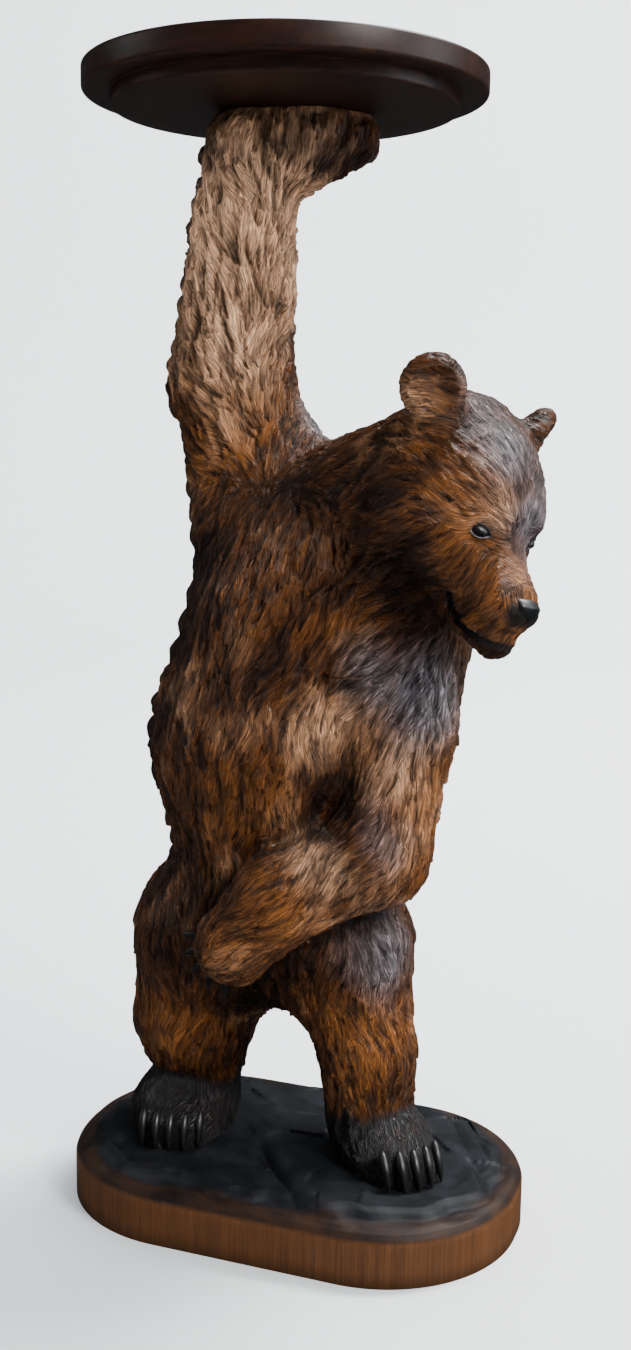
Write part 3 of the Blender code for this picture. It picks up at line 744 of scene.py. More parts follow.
def lock_pattern(along, across, length=LOCK_LENGTH, width=LOCK_WIDTH):
    """Staggered rows of overlapping pointed locks, each highest near its tip."""
    across = across + LOCK_SWAY * np.sin(along / LOCK_WAVES[0])
    short_wave = np.sin(across / LOCK_WAVES[1])
    long_wave = np.sin(across / LOCK_WAVES[2] + 1.0)
    along = along + LOCK_SWAY * short_wave + LOCK_SWAY * long_wave
    row = np.floor(along / length)
    highest = np.zeros(len(along))
    for back in (0, 1):
        share = (along / length - row + back) / LOCK_OVERLAP
        column = across / width + 0.5 * np.mod(row - back, 2)
        side = np.abs(column - np.round(column))
        half_width = LOCK_HALF_WIDTH * np.sqrt(np.clip(1.0 - share, 0.0, 1.0))
        round_over = np.sqrt(np.clip(1.0 - (side / np.maximum(half_width, 1e-6)) ** 2, 0.0, 1.0))
        rise = np.clip(share / LOCK_RISE_SHARE, 0.0, 1.0)
        ramp = LOCK_ROOT + (1 - LOCK_ROOT) * np.clip(share, 0.0, 1.0)
        highest = np.maximum(highest, ramp * round_over * rise)
    return highest - 0.5


def lock_height(points):
    """How far the locks stand out at each point, where the runs of hair meet each other softly."""
    total = np.zeros(len(points))
    weight = np.full(len(points), 1e-9)
    for start, end, radius in LOCK_RUNS:
        start, end = Vector(start), Vector(end)
        axis = (end - start).normalized()
        side = axis.cross(Vector((0, 1, 0))).normalized()
        third = axis.cross(side)
        from_start = points - np.array(start)
        along = from_start @ np.array(axis)
        across = np.arctan2(from_start @ np.array(side), from_start @ np.array(third)) * radius
        away = form_distance(points, ("run", start, end, radius, radius, 1.0, 0))
        near = np.exp(-np.maximum(away, -DEEPEST_RUN * LOCK_SOFTNESS) / LOCK_SOFTNESS)
        total += near * lock_pattern(along, across)
        weight += near
    bare = joined(to_head(points), HEAD)
    for form in FEET:
        bare = np.minimum(bare, form_distance(points, form))
    haired = np.clip(bare / BARE_HEAD, 0.0, 1.0)
    return LOCK_RISE * haired * total / weight


def ear_distance(head_places):
    """How far places lie from the nearer ear."""
    left = disc_distance(head_places, LEFT_EAR, ear_turn(1), EAR_RADIUS, EAR_THICKNESS)
    right = disc_distance(head_places, RIGHT_EAR, ear_turn(-1), EAR_RADIUS, EAR_THICKNESS)
    return np.minimum(left, right)


def back_locks(points, normals):
    """Bolder locks on the back and the right side, which give those edges their scallops."""
    facing = normals @ np.array(BACK_WAY)
    near = np.clip((facing - BACK_FROM) * BACK_SHARPNESS, 0, 1)
    around = np.arctan2(normals[:, 1], normals[:, 0])
    torso = scallops(-points[:, 2], around, BACK_LOCK)
    arm = scallops(-points[:, 2], around, ARM_BACK_LOCK)
    high = np.clip((points[:, 2] - BACK_HIGH) / BACK_FADE, 0, 1)
    head = np.clip(joined(to_head(points), HEAD) / BACK_OFF_HEAD, 0, 1)
    low = np.clip((points[:, 2] - BACK_LOW) / BACK_FADE, 0, 1)
    return near * head * low * (BACK_RISE * (1 - high) * torso + ARM_BACK_RISE * high * arm)


def scallops(along, around, length):
    """Rounded locks in staggered columns, with a sharp notch between each two."""
    shift = SCALLOP_SHIFT[0] * np.sin(around * SCALLOP_SHIFT[1])
    drift = SCALLOP_DRIFT[0] * np.sin(along / (SCALLOP_DRIFT[1] * length))
    share = along / length + shift + drift
    row = np.floor(share)
    column = around * SCALLOP_COLUMNS + 0.5 * np.mod(row, 2)
    side = (column - np.round(column)) / SCALLOP_HALF_WIDTH
    least, varies, rows, waves = SCALLOP_BOLD
    bold = least + varies * np.sin(along / (rows * length) + around * waves)
    rise = np.sin(math.pi * (share - row) ** SCALLOP_LEAN) ** SCALLOP_FULLNESS
    return bold * (rise * np.sqrt(1 - side * side) - SCALLOP_FLOOR)


def figure_distance(points):
    """The whole figure without its locks and claws, in drawn millimetres."""
    total = joined(points, BODY)
    total = join(total, joined(points, RIGHT_ARM), SHOULDER_BLEND)
    total = join(total, head_distance(to_head(points)), HEAD_BLEND)
    left_arm = joined(points, LEFT_ARM)
    high = np.clip((points[:, 2] - CREASE_TOP) / CREASE_FADE, 0.0, 1.0)
    crisp = join(total, left_arm, ARM_BLEND)
    soft = join(total, left_arm, SHOULDER_BLEND)
    total = crisp * (1 - high) + soft * high
    total = join(total, joined(points, FEET[:2]), FOOT_BLEND)
    return join(total, joined(points, FEET[2:]), FOOT_BLEND)


def form_matrices():
    """The place and size of each ball that the figure is built up from."""
    places = []
    for forms, turned in ((BODY + RIGHT_ARM + LEFT_ARM + FEET, Matrix()), (HEAD, HEAD_MATRIX)):
        for _, start, end, first, last, depth, _ in forms:
            start, end = Vector(start), Vector(end)
            count = max(2, int((end - start).length / (BALL_SPACING * min(first, last))) + 2)
            for step in range(count):
                share = step / (count - 1)
                radius = first + (last - first) * share
                grown = Matrix.Diagonal((radius, radius * depth, radius, 1))
                places.append(turned @ Matrix.Translation(start.lerp(end, share)) @ grown)
    for place, side in ((LEFT_EAR, 1), (RIGHT_EAR, -1)):
        turn = Euler([math.radians(angle) for angle in ear_turn(side)])
        grown = (EAR_THICKNESS, EAR_RADIUS, EAR_RADIUS)
        places.append(HEAD_MATRIX @ Matrix.LocRotScale(place, turn, grown))
    return places


def draw_to(distance, mesh, rounds):
    """Move the vertices along their normals onto the surface where the distance is nought."""
    for _ in range(rounds):
        places = vertex_array(mesh)
        normals = normal_array(mesh)
        value = distance(places)
        slope = (distance(places + normals * SLOPE_STEP) - value) / SLOPE_STEP
        move = np.clip(value / np.maximum(slope, LEAST_SLOPE), -LONGEST_MOVE, LONGEST_MOVE)
        set_places(mesh, places - normals * move[:, None])


def smooth_figure():
    """The figure's forms as one smooth mesh, in drawn millimetres."""
    deselect()
    bpy.ops.mesh.primitive_ico_sphere_add(subdivisions=2, radius=1.0)
    first = bpy.context.object
    balls = []
    for place in form_matrices():
        ball = new_piece("form", first.data.copy())
        ball.data.transform(place)
        balls.append(ball)
    bpy.data.objects.remove(first)
    deselect()
    for ball in balls:
        ball.select_set(True)
    bpy.context.view_layer.objects.active = balls[0]
    bpy.ops.object.join()
    figure = bpy.context.object
    for voxel in (ROUGH_VOXEL, FORM_VOXEL):
        finish_modifier(figure, "REMESH", mode="VOXEL", voxel_size=voxel)
        mesh = figure.data
        edges = edge_array(mesh)
        for _ in range(2):
            draw_to(figure_distance, mesh, 1)
            set_places(mesh, edge_smooth(vertex_array(mesh), edges, 2, 0.5))
    finish_modifier(figure, "SUBSURF", levels=1, render_levels=1)
    draw_to(figure_distance, figure.data, 1)
    return figure


def part_lines(figure):
    """Cut through the mesh where it is later parted, and flat at the paw's top and under the rock."""
    activate(figure)
    bpy.ops.object.mode_set(mode="EDIT")
    for height in (WAIST, HIPS, JAW_FLOOR, ARM_ROOT):
        bpy.ops.mesh.select_all(action="SELECT")
        bpy.ops.mesh.bisect(plane_co=(0, 0, height), plane_no=(0, 0, 1))
    bpy.ops.mesh.select_all(action="SELECT")
    bpy.ops.mesh.bisect(plane_co=(HEAD_SIDE, 0, 0), plane_no=(1, 0, 0))
    bpy.ops.mesh.select_all(action="SELECT")
    bpy.ops.mesh.bisect(plane_co=(0, 0, DRAWN_HEIGHT), plane_no=(0, 0, 1), use_fill=True, clear_outer=True)
    bpy.ops.mesh.select_all(action="SELECT")
    bpy.ops.mesh.bisect(plane_co=(0, 0, -ROCK_SINK), plane_no=(0, 0, 1), use_fill=True, clear_inner=True)
    bpy.ops.mesh.select_all(action="SELECT")
    bpy.ops.mesh.quads_convert_to_tris(quad_method="FIXED")
    bpy.ops.object.mode_set(mode="OBJECT")


def hair_fields(points, normals):
    """The lie of the hair at each point, and the strokes' length, width and depth there."""
    lie = np.zeros_like(points)
    sizes = np.zeros((len(points), 3))
    weight = np.full(len(points), 1e-12)
    for _, start, end, radius, length, width, depth in HAIR:
        away = form_distance(points, ("run", start, end, radius, radius, 1.0, 0))
        near = np.exp(-np.maximum(away, -HAIR_SOFTNESS) / HAIR_SOFTNESS)
        axis = np.array((Vector(end) - Vector(start)).normalized())
        lie += near[:, None] * axis
        sizes += near[:, None] * np.array([length, width, depth])
        weight += near
    head_places = to_head(points)
    from_head_form = np.minimum(joined(head_places, HEAD), ear_distance(head_places))
    near = np.exp(-np.maximum(from_head_form, -HAIR_SOFTNESS) / HEAD_HAIR_SOFTNESS) * HEAD_HAIR_WEIGHT
    back = HEAD_AXES @ np.array([-1.0, 0.0, 0.0])
    down = HEAD_AXES @ np.array([0.0, 0.0, -1.0])
    low_from, low_run, low_share = CHEEK_FALL
    low = np.clip((low_from - head_places[:, 2]) / low_run, 0.0, 1.0) * low_share
    ahead_from, ahead_run, low_from, low_run, low_share = MUZZLE_FALL
    on_muzzle = np.clip((head_places[:, 0] - ahead_from) / ahead_run, 0, 1)
    low += low_share * on_muzzle * np.clip((low_from - head_places[:, 2]) / low_run, 0, 1)
    lie += near[:, None] * unit_rows(back + low[:, None] * down)
    sizes += near[:, None] * np.array(HEAD_STROKE)
    on_ear = EAR_HAIR_WEIGHT * np.clip(1 - ear_distance(head_places) / EAR_HAIR_REACH, 0, 1)
    lie += on_ear[:, None] * np.cross(normals, (0.0, 0.0, 1.0))
    sizes += on_ear[:, None] * np.array(EAR_STROKE)
    weight += on_ear
    weight += near
    lie /= weight[:, None]
    sizes /= weight[:, None]
    on_arm = np.clip((points[:, 2] - ARM_SLANT_LOW) / ARM_SLANT_FADE, 0, 1)
    on_arm = on_arm * np.clip((ARM_SLANT_HIGH - points[:, 2]) / ARM_SLANT_FADE, 0, 1)
    on_arm *= points[:, 0] < ARM_SLANT_SIDE
    slant_way = np.array(ARM_SLANT_WAY)
    slant = on_arm * ARM_SLANT * np.clip(normals @ slant_way + ARM_SLANT_ROUND, 0, 1)
    lie -= slant[:, None] * slant_way
    from_pit = points - np.array(ARMPIT, float)
    far = np.linalg.norm(from_pit, axis=1)
    pull = ARMPIT_PULL * np.exp(-((far / ARMPIT_REACH) ** 2))
    ahead_of_back = np.clip((ARMPIT_BACK[0] - points[:, 1]) / ARMPIT_BACK[1], 0.0, 1.0)
    beside_head = np.clip((ARMPIT_SIDE[0] - points[:, 0]) / ARMPIT_SIDE[1], 0.0, 1.0)
    pull *= ahead_of_back * beside_head
    way = np.where(from_pit[:, 2] > 0, -1.0, 1.0)
    lie += pull[:, None] * unit_rows(from_pit) * way[:, None]
    lie -= normals * np.sum(lie * normals, axis=1)[:, None]
    return unit_rows(lie), sizes


def swayed(lie, normals, points):
    """The lie of the hair with a slow sway, so that no two strokes run quite alike."""
    x, y, z = points.T
    first, second, third, fourth = SLOW_WAVES
    angle = SLOW_SWAY * np.sin(x / first + z / second) * np.cos(y / third - z / fourth)
    angle += QUICK_SWAY * np.sin(z / QUICK_WAVES[0] + x / QUICK_WAVES[1] + 2)
    side = np.cross(normals, lie)
    return lie * np.cos(angle)[:, None] + side * np.sin(angle)[:, None]


def stroke_layer(tree, points, normals, lie, sizes, area, cover, chance, scatter):
    """Gouge strokes over the whole surface: how deep each vertex is cut, and a tone for each stroke."""
    per_vertex = area * cover / (sizes[:, 0] * sizes[:, 1])
    chosen = np.flatnonzero(chance.random(len(points)) < per_vertex)
    chance.shuffle(chosen)
    depth = np.zeros(len(points))
    tone = np.zeros(len(points))
    for index in chosen:
        length, width, deep = sizes[index] * (STROKE_VARIES[0] + STROKE_VARIES[1] * chance.random(3))
        hits = tree.find_range(points[index], length * 0.5)
        found = np.fromiter((hit[1] for hit in hits), dtype=np.int64, count=len(hits))
        if len(found) < FEWEST_VERTICES:
            continue
        turn = scatter * (chance.random() - 0.5)
        ahead = lie[index] * math.cos(turn) + np.cross(normals[index], lie[index]) * math.sin(turn)
        aside = np.cross(normals[index], ahead)
        from_middle = points[found] - points[index]
        along = from_middle @ ahead / (length * 0.5)
        ends = np.sqrt(np.clip(1.0 - along * along, 0.0, 1.0))
        half = 0.5 * width * ends * (1.0 - STROKE_TAPER * along) + 1e-6
        across = from_middle @ aside / half
        facing = normals[found] @ normals[index]
        inside = (np.abs(across) < 1.0) & (facing > SAME_SIDE)
        found, along, across = found[inside], along[inside], across[inside]
        swell = STROKE_SWELL[0] + STROKE_SWELL[1] * np.clip(along + 0.5, 0.0, 1.0)
        here = deep * swell * (1.0 - across * across)
        deeper = here > depth[found]
        depth[found[deeper]] = here[deeper]
        tone[found[deeper]] = chance.random() * 2 - 1
    return depth, tone


def combed(values, points, edges, lie, rounds):
    """Values drawn out along the hair: each vertex takes from the neighbours ahead and behind."""
    one, other = edges.T
    way = unit_rows(points[other] - points[one])
    to_one = np.abs(np.sum(way * lie[one], axis=1)) ** COMB_SHARPNESS + 1e-4
    to_other = np.abs(np.sum(way * lie[other], axis=1)) ** COMB_SHARPNESS + 1e-4
    size = len(values)
    weight = np.bincount(one, to_one, size) + np.bincount(other, to_other, size)
    for _ in range(rounds):
        total = np.bincount(one, to_one * values[other], size)
        total += np.bincount(other, to_other * values[one], size)
        values = COMB_KEEPS * values + COMB_TAKES * total / weight
    return values


def spread_out(values):
    """Values brought to lie mostly between minus one and one."""
    values = values - values.mean()
    return np.clip(values / (SPREAD * values.std()), -1.0, 1.0)


def place_mask(points, places):
    """How much each point belongs to the named places."""
    mask = np.zeros(len(points))
    for middle, radius, strength in places:
        away = np.linalg.norm(points - np.array(middle, float), axis=1) / radius
        mask = np.maximum(mask, strength * np.exp(-away * away))
    return np.clip(mask, 0.0, 1.0)


def hair_patches(mesh, points, normals, lie, chance):
    """A UV map in small patches that each lie along the hair, for the finest scratches."""
    count = max(1, len(points) // PATCH_VERTICES)
    seeds = chance.choice(len(points), count, replace=False)
    tree = kdtree.KDTree(count)
    for number, index in enumerate(seeds):
        tree.insert(points[index], number)
    tree.balance()
    nearest = np.fromiter((tree.find(place)[1] for place in points), dtype=np.int64, count=len(points))
    corners = np.empty(len(mesh.loops), dtype=np.int32)
    mesh.loops.foreach_get("vertex_index", corners)
    starts = np.empty(len(mesh.polygons), dtype=np.int32)
    totals = np.empty(len(mesh.polygons), dtype=np.int32)
    mesh.polygons.foreach_get("loop_start", starts)
    mesh.polygons.foreach_get("loop_total", totals)
    patch = np.repeat(nearest[corners[starts]], totals)
    seed = seeds[patch]
    ahead = lie[seed]
    aside = np.cross(normals[seed], ahead)
    from_seed = points[corners] - points[seed]
    shift = chance.random((count, 2)) * PATCH_SHIFT
    uv = np.empty((len(corners), 2), dtype=np.float32)
    uv[:, 0] = np.sum(from_seed * aside, axis=1) + shift[patch, 0]
    uv[:, 1] = np.sum(from_seed * ahead, axis=1) + shift[patch, 1]
    layer = mesh.uv_layers.new(name="hair")
    layer.data.foreach_set("uv", uv.ravel())


def carve(figure, strokes):
    """Cut the locks and the strokes into the figure, and mark its stain, its painted shade and its painted
    sheen.
    """
    mesh = figure.data
    points = vertex_array(mesh)
    normals = normal_array(mesh)
    edges = edge_array(mesh)
    chance = np.random.default_rng(SEED)
    lie, sizes = hair_fields(points, normals)
    lie = unit_rows(edge_smooth(lie, edges, HAIR_ROUNDS, 0.5))
    lie = swayed(lie, normals, points)
    polygon_area = np.empty(len(mesh.polygons))
    mesh.polygons.foreach_get("area", polygon_area)
    area = polygon_area.sum() / len(points)
    tree = kdtree.KDTree(len(points))
    for index, place in enumerate(points):
        tree.insert(place, index)
    tree.balance()
    bare = bare_places(points)
    main_depth, tone = stroke_layer(
        tree, points, normals, lie, sizes, area, strokes, chance, STROKE_SCATTER
    )
    fine_sizes = sizes * np.array(FINE_SIZES)
    fine_sizes[:, 1] = np.maximum(fine_sizes[:, 1], FINE_LEAST_WIDTH)
    fine_depth, fine_tone = stroke_layer(
        tree, points, normals, lie, fine_sizes, area, strokes * FINE_COVER, chance, FINE_SCATTER
    )
    fine_depth *= FINE_DEPTH
    flat = np.clip((DRAWN_HEIGHT - PALM_FLAT[0] - points[:, 2]) / PALM_FLAT[1], 0.0, 1.0)
    flat *= np.clip((points[:, 2] + ROCK_SINK) / FOOT_FLAT, 0.0, 1.0)
    streak = spread_out(combed(chance.standard_normal(len(points)), points, edges, lie, STREAK_ROUNDS))
    patch = np.array([noise.noise(place) for place in (points / PATCH_SIZE).tolist()])
    patch = spread_out(combed(patch, points, edges, lie, PATCH_ROUNDS))
    depth = (main_depth + fine_depth - STREAK_RISE * streak * sizes[:, 2]) * (1 - bare) * flat
    off_ears = np.clip(ear_distance(to_head(points)) / EAR_CLEAR, 0, 1)
    from_pit = np.linalg.norm(points - np.array(ARMPIT_LOCKS, float), axis=1) / ARMPIT_REACH
    even = 1 - EVEN_AT_ARMPIT * np.exp(-(from_pit**2))
    locks = (lock_height(points) * even + back_locks(points, normals)) * off_ears * flat - FORM_INSET * flat
    stand = STROKE_STAND * sizes[:, 2] * (1 - bare) * flat
    moved = points + normals * (locks + stand - depth)[:, None]
    moved[:, 2] = np.minimum(moved[:, 2], DRAWN_HEIGHT)
    # Painted shade: darker where other forms of the figure lie close in front of the surface
    shade = np.zeros(len(points))
    for reach, strength in (NEAR_SHADE, FAR_SHADE):
        shade += np.clip(1 - figure_distance(points + normals * reach) / reach, 0, 1) * strength
    set_places(mesh, moved)
    whole = normal_array(mesh)
    set_places(mesh, points)
    for axis in range(3):
        add_attribute(mesh, MOVED[axis], moved[:, axis])
        add_attribute(mesh, WHOLE[axis], whole[:, axis])
    full_groove = np.maximum(GROOVE_FULL[0] * sizes[:, 2], GROOVE_FULL[1])
    add_attribute(mesh, "groove", np.clip(depth / full_groove, 0, 1))
    add_attribute(mesh, "tone", TONE_SHARES[0] * tone + TONE_SHARES[1] * fine_tone)
    add_attribute(mesh, "coarse", sizes[:, 1] / COARSEST)
    add_attribute(mesh, "streak", streak)
    add_attribute(mesh, "patch", patch)
    add_attribute(mesh, "shade", edge_smooth(np.clip(shade, 0, 1), edges, SHADE_ROUNDS, 0.5))
    jaw = jaw_mask(points)
    # Painted shade on the side away from the main light
    shaded_side = np.clip((normals @ np.array(SHADED_SIDE_WAY) - SHADED_SIDE_FROM) * BACK_SHARPNESS, 0, 1)
    shaded_side = shaded_side * (points[:, 2] > SHADED_SIDE_LOW)
    # The dark mask: dark stain with painted shade
    dark = np.maximum(place_mask(points, DARK_STAIN_AND_SHADE_PLACES), np.maximum(jaw, shaded_side))
    # The bare wood round the eyes and the nose is darkened: painted shade in the eye sockets
    add_attribute(mesh, "dark", np.maximum(dark, BARE_DARK * bare))
    add_attribute(mesh, "warm", place_mask(points, WARM_PLACES))
    add_attribute(mesh, "pale", place_mask(points, PALE_PLACES))
    # Painted sheen, where the cool lights reflect
    add_attribute(mesh, "grey", place_mask(points, SHEEN_PLACES))
    add_attribute(mesh, "soot", soot_mask(points))
    hair_patches(mesh, points, normals, lie, chance)


def bare_places(points):
    """Where no hair is cut: round the eyes, on the nose, in the mouth."""
    head_places = to_head(points)
    mirrored = head_places.copy()
    mirrored[:, 1] = np.abs(mirrored[:, 1])
    eye = np.linalg.norm(mirrored - np.array(EYE_PLACE), axis=1)
    bare = np.clip(EYE_BARE[0] - eye / EYE_BARE[1], 0, 1)
    nose = form_distance(head_places, HEAD[-1])
    return np.maximum(bare, np.clip(1 - nose / NOSE_BARE, 0, 1))


def mouth_height(x):
    """How high the line of the mouth runs at each place along the head."""
    across, up = zip(*MOUTH_LINE)
    return np.interp(x, across, up)


def jaw_mask(points):
    """Dark stain on the lower jaw, under the line of the mouth."""
    head_places = to_head(points)
    near = np.clip(1 - joined(head_places, HEAD) / JAW_REACH, 0, 1)
    above = mouth_height(head_places[:, 0]) - head_places[:, 2]
    below = np.clip((above + JAW_EDGE[0]) / JAW_EDGE[1], 0, 1)
    return JAW_DARK * near * below * np.clip((head_places[:, 0] - JAW_FROM[0]) / JAW_FROM[1], 0, 1)


def soot_mask(points):
    """Where the stain is near black: the feet up to a ragged hem, and the mouth and nose."""
    broad_wave = np.sin(points[:, 0] / SOOT_WAVES[0] + points[:, 1] / SOOT_WAVES[1])
    fine_wave = np.sin(points[:, 0] / SOOT_WAVES[2])
    hem = SOOT_HEM + SOOT_RAGGED * broad_wave + SOOT_RAGGED * 0.6 * fine_wave
    feet = np.clip((hem - points[:, 2]) / SOOT_FADE, 0, 1)
    for form in FEET:
        feet = np.maximum(feet, np.clip(FOOT_SOOT[0] - form_distance(points, form) / FOOT_SOOT[1], 0, 1))
    head_places = to_head(points)
    line = mouth_distance(head_places, 0)
    mouth = np.clip(MOUTH_SOOT[0] - line / MOUTH_SOOT[1], 0, 1) * (head_places[:, 0] > MOUTH_SOOT_FROM)
    near_head = joined(head_places, HEAD) < MOUTH_SOOT_REACH
    nose = np.clip(1.0 - form_distance(head_places, HEAD[-1]) / NOSE_SOOT, 0, 1)
    return np.maximum(feet, np.maximum(mouth, nose) * near_head)


def mark_pieces(figure):
    """Note on each face which piece it goes to."""
    mesh = figure.data
    centres = np.empty(len(mesh.polygons) * 3, dtype=np.float32)
    mesh.polygons.foreach_get("center", centres)
    x, _, z = centres.reshape(-1, 3).T
    label = np.where(z < HIPS, 0, np.where(z < WAIST, 1, 2))
    upper = z >= WAIST
    label = np.where(upper & (x > HEAD_SIDE), np.where(z > JAW_FLOOR, 3, 4), label)
    label = np.where(upper & (x <= HEAD_SIDE) & (z > ARM_ROOT), 5, label)
    attribute = mesh.attributes.new("piece", "INT", "FACE")
    attribute.data.foreach_set("value", label.astype(np.int32))


def close_plane(bm, axis, place):
    """Close a parted piece with one flat face where the cut along this plane left it open."""
    open_edges = []
    for edge in bm.edges:
        if len(edge.link_faces) == 1 and all(abs(vert.co[axis] - place) < ON_PLANE for vert in edge.verts):
            open_edges.append(edge)
    ends = {}
    for edge in open_edges:
        for vert in edge.verts:
            ends[vert] = ends.get(vert, 0) + 1
    loose = [vert for vert, count in ends.items() if count == 1]
    if len(loose) == 2 and not bm.edges.get(loose):
        open_edges.append(bm.edges.new(loose))
    return bmesh.ops.edgeloop_fill(bm, edges=open_edges)["faces"]


def draw_in(bm, caps, inward, outward):
    """Sink the flat faces into the piece, clear of the surface, where no cut of the carving reaches."""
    bmesh.ops.inset_region(bm, faces=caps, thickness=0.0, depth=0.0, use_even_offset=False)
    sunk = {}
    for cap, way in zip(caps, inward):
        for vert in cap.verts:
            sunk[vert] = sunk.get(vert, Vector()) + way
    layers = [bm.verts.layers.float[name] for name in MOVED]
    for vert, way in sunk.items():
        rims = [edge.other_vert(vert) for edge in vert.link_edges if edge.other_vert(vert) in outward]
        normal = outward[rims[0]]
        way = way - normal * max(0.0, way.dot(normal))
        place = vert.co + way * CAP_SINK - normal * CAP_INSET
        for axis, layer in enumerate(layers):
            vert[layer] = place[axis]


def part_figure(figure):
    """Part the smooth mesh into pieces along the lines cut for it, and close each with flat faces."""
    mesh = figure.data
    label = np.empty(len(mesh.polygons), dtype=np.int32)
    mesh.attributes["piece"].data.foreach_get("value", label)
    pieces = []
    for number, (name, planes) in enumerate(PIECES):
        bm = bmesh.new()
        bm.from_mesh(mesh)
        bm.faces.ensure_lookup_table()
        others = [bm.faces[index] for index in np.flatnonzero(label != number)]
        bmesh.ops.delete(bm, geom=others, context="FACES")
        bm.normal_update()
        outward = {vert: vert.normal.copy() for vert in bm.verts if vert.is_boundary}
        caps = []
        inward = []
        for axis, place, side in planes:
            for cap in close_plane(bm, axis, place):
                caps.append(cap)
                inward.append(Vector([side if other == axis else 0 for other in range(3)]))
        bmesh.ops.recalc_face_normals(bm, faces=bm.faces[:])
        draw_in(bm, caps, inward, outward)
        part = bpy.data.meshes.new(name)
        bm.to_mesh(part)
        bm.free()
        pieces.append(new_piece(name, part))
    bpy.data.objects.remove(figure)
    return pieces


def read_attribute(mesh, name):
    """A number kept on the vertices, as an array."""
    values = np.empty(len(mesh.vertices), dtype=np.float32)
    mesh.attributes[name].data.foreach_get("value", values)
    return values.astype(float)


def settle(part):
    """Carve a parted piece, bring it to its real size and place, and shade it like the whole."""
    mesh = part.data
    moved = np.stack([read_attribute(mesh, name) for name in MOVED], axis=1)
    places = moved * UNIT
    places[:, 2] += BASE_TOP
    set_places(mesh, places)
    whole = np.stack([read_attribute(mesh, name) for name in WHOLE], axis=1)
    mesh.polygons.foreach_set("use_smooth", np.ones(len(mesh.polygons), dtype=bool))
    mesh.normals_split_custom_set_from_vertices(whole.tolist())
    for name in (*MOVED, *WHOLE, "piece"):
        mesh.attributes.remove(mesh.attributes[name])


def outline_reach(angle):
    """From the base's middle to its outline, in this direction."""
    half_x, half_y = BASE_LENGTH / 2 - BASE_CORNER, BASE_WIDTH / 2 - BASE_CORNER
    way = np.stack([np.cos(angle), np.sin(angle)], axis=1)
    low = np.zeros(len(angle))
    high = np.full(len(angle), BASE_LENGTH)
    for _ in range(HALVINGS):
        middle = (low + high) / 2
        outside = stadium_distance(way * middle[:, None], half_x, half_y) > 0
        high = np.where(outside, middle, high)
        low = np.where(outside, low, middle)
    return (low + high) / 2


def stadium_distance(places, half_x, half_y):
    """How far places lie outside the base's outline."""
    over = np.abs(places) - np.array([half_x, half_y])
    outer = np.linalg.norm(np.maximum(over, 0.0), axis=1)
    return outer + np.minimum(np.max(over, axis=1), 0.0) - BASE_CORNER


def rock_relief(x, y):
    """Height of the rock above its flat: broad facets, adze scoops that meet in ridges, long cuts."""
    chance = np.random.default_rng(SEED)
    turn = math.radians(SCOOP_HEADING)
    along = (x * math.cos(turn) + y * math.sin(turn)) / SCOOP_LENGTH
    across = (y * math.cos(turn) - x * math.sin(turn)) / SCOOP_WIDTH
    seeds = chance.random((SCOOPS, 2)) * np.array([BASE_LENGTH / SCOOP_LENGTH, BASE_LENGTH / SCOOP_WIDTH])
    seeds -= np.array([BASE_LENGTH / SCOOP_LENGTH, BASE_LENGTH / SCOOP_WIDTH]) / 2
    slopes = chance.random((SCOOPS, 3)) - 0.5
    nearest = np.full(len(x), np.inf)
    height = np.zeros(len(x))
    for (first, second), slope in zip(seeds, slopes):
        away = (along - first) ** 2 + (across - second) ** 2
        lean = slope[0] * (along - first) + slope[1] * (across - second)
        facet = FACET_SLOPE * lean + FACET_STEP * slope[2]
        height = np.where(away < nearest, facet, height)
        nearest = np.minimum(nearest, away)
    height = height + SCOOP_DEPTH * (np.minimum(nearest, SCOOP_CREST) - 0.5)
    for start, end, width, depth in ROCK_CUTS:
        run = np.array(end) - np.array(start)
        from_start = np.stack([x - start[0], y - start[1]], axis=1)
        share = np.clip(from_start @ run / (run @ run), 0.0, 1.0)
        away = np.linalg.norm(from_start - share[:, None] * run, axis=1)
        side = from_start[:, 0] * run[1] - from_start[:, 1] * run[0]
        reach = width * np.where(side > 0, CUT_STEEP, CUT_GENTLE)
        ends = np.sin(math.pi * np.clip(share, *CUT_ENDS)) ** 0.5
        height = height - depth * np.exp(-away / reach) * ends
    return height


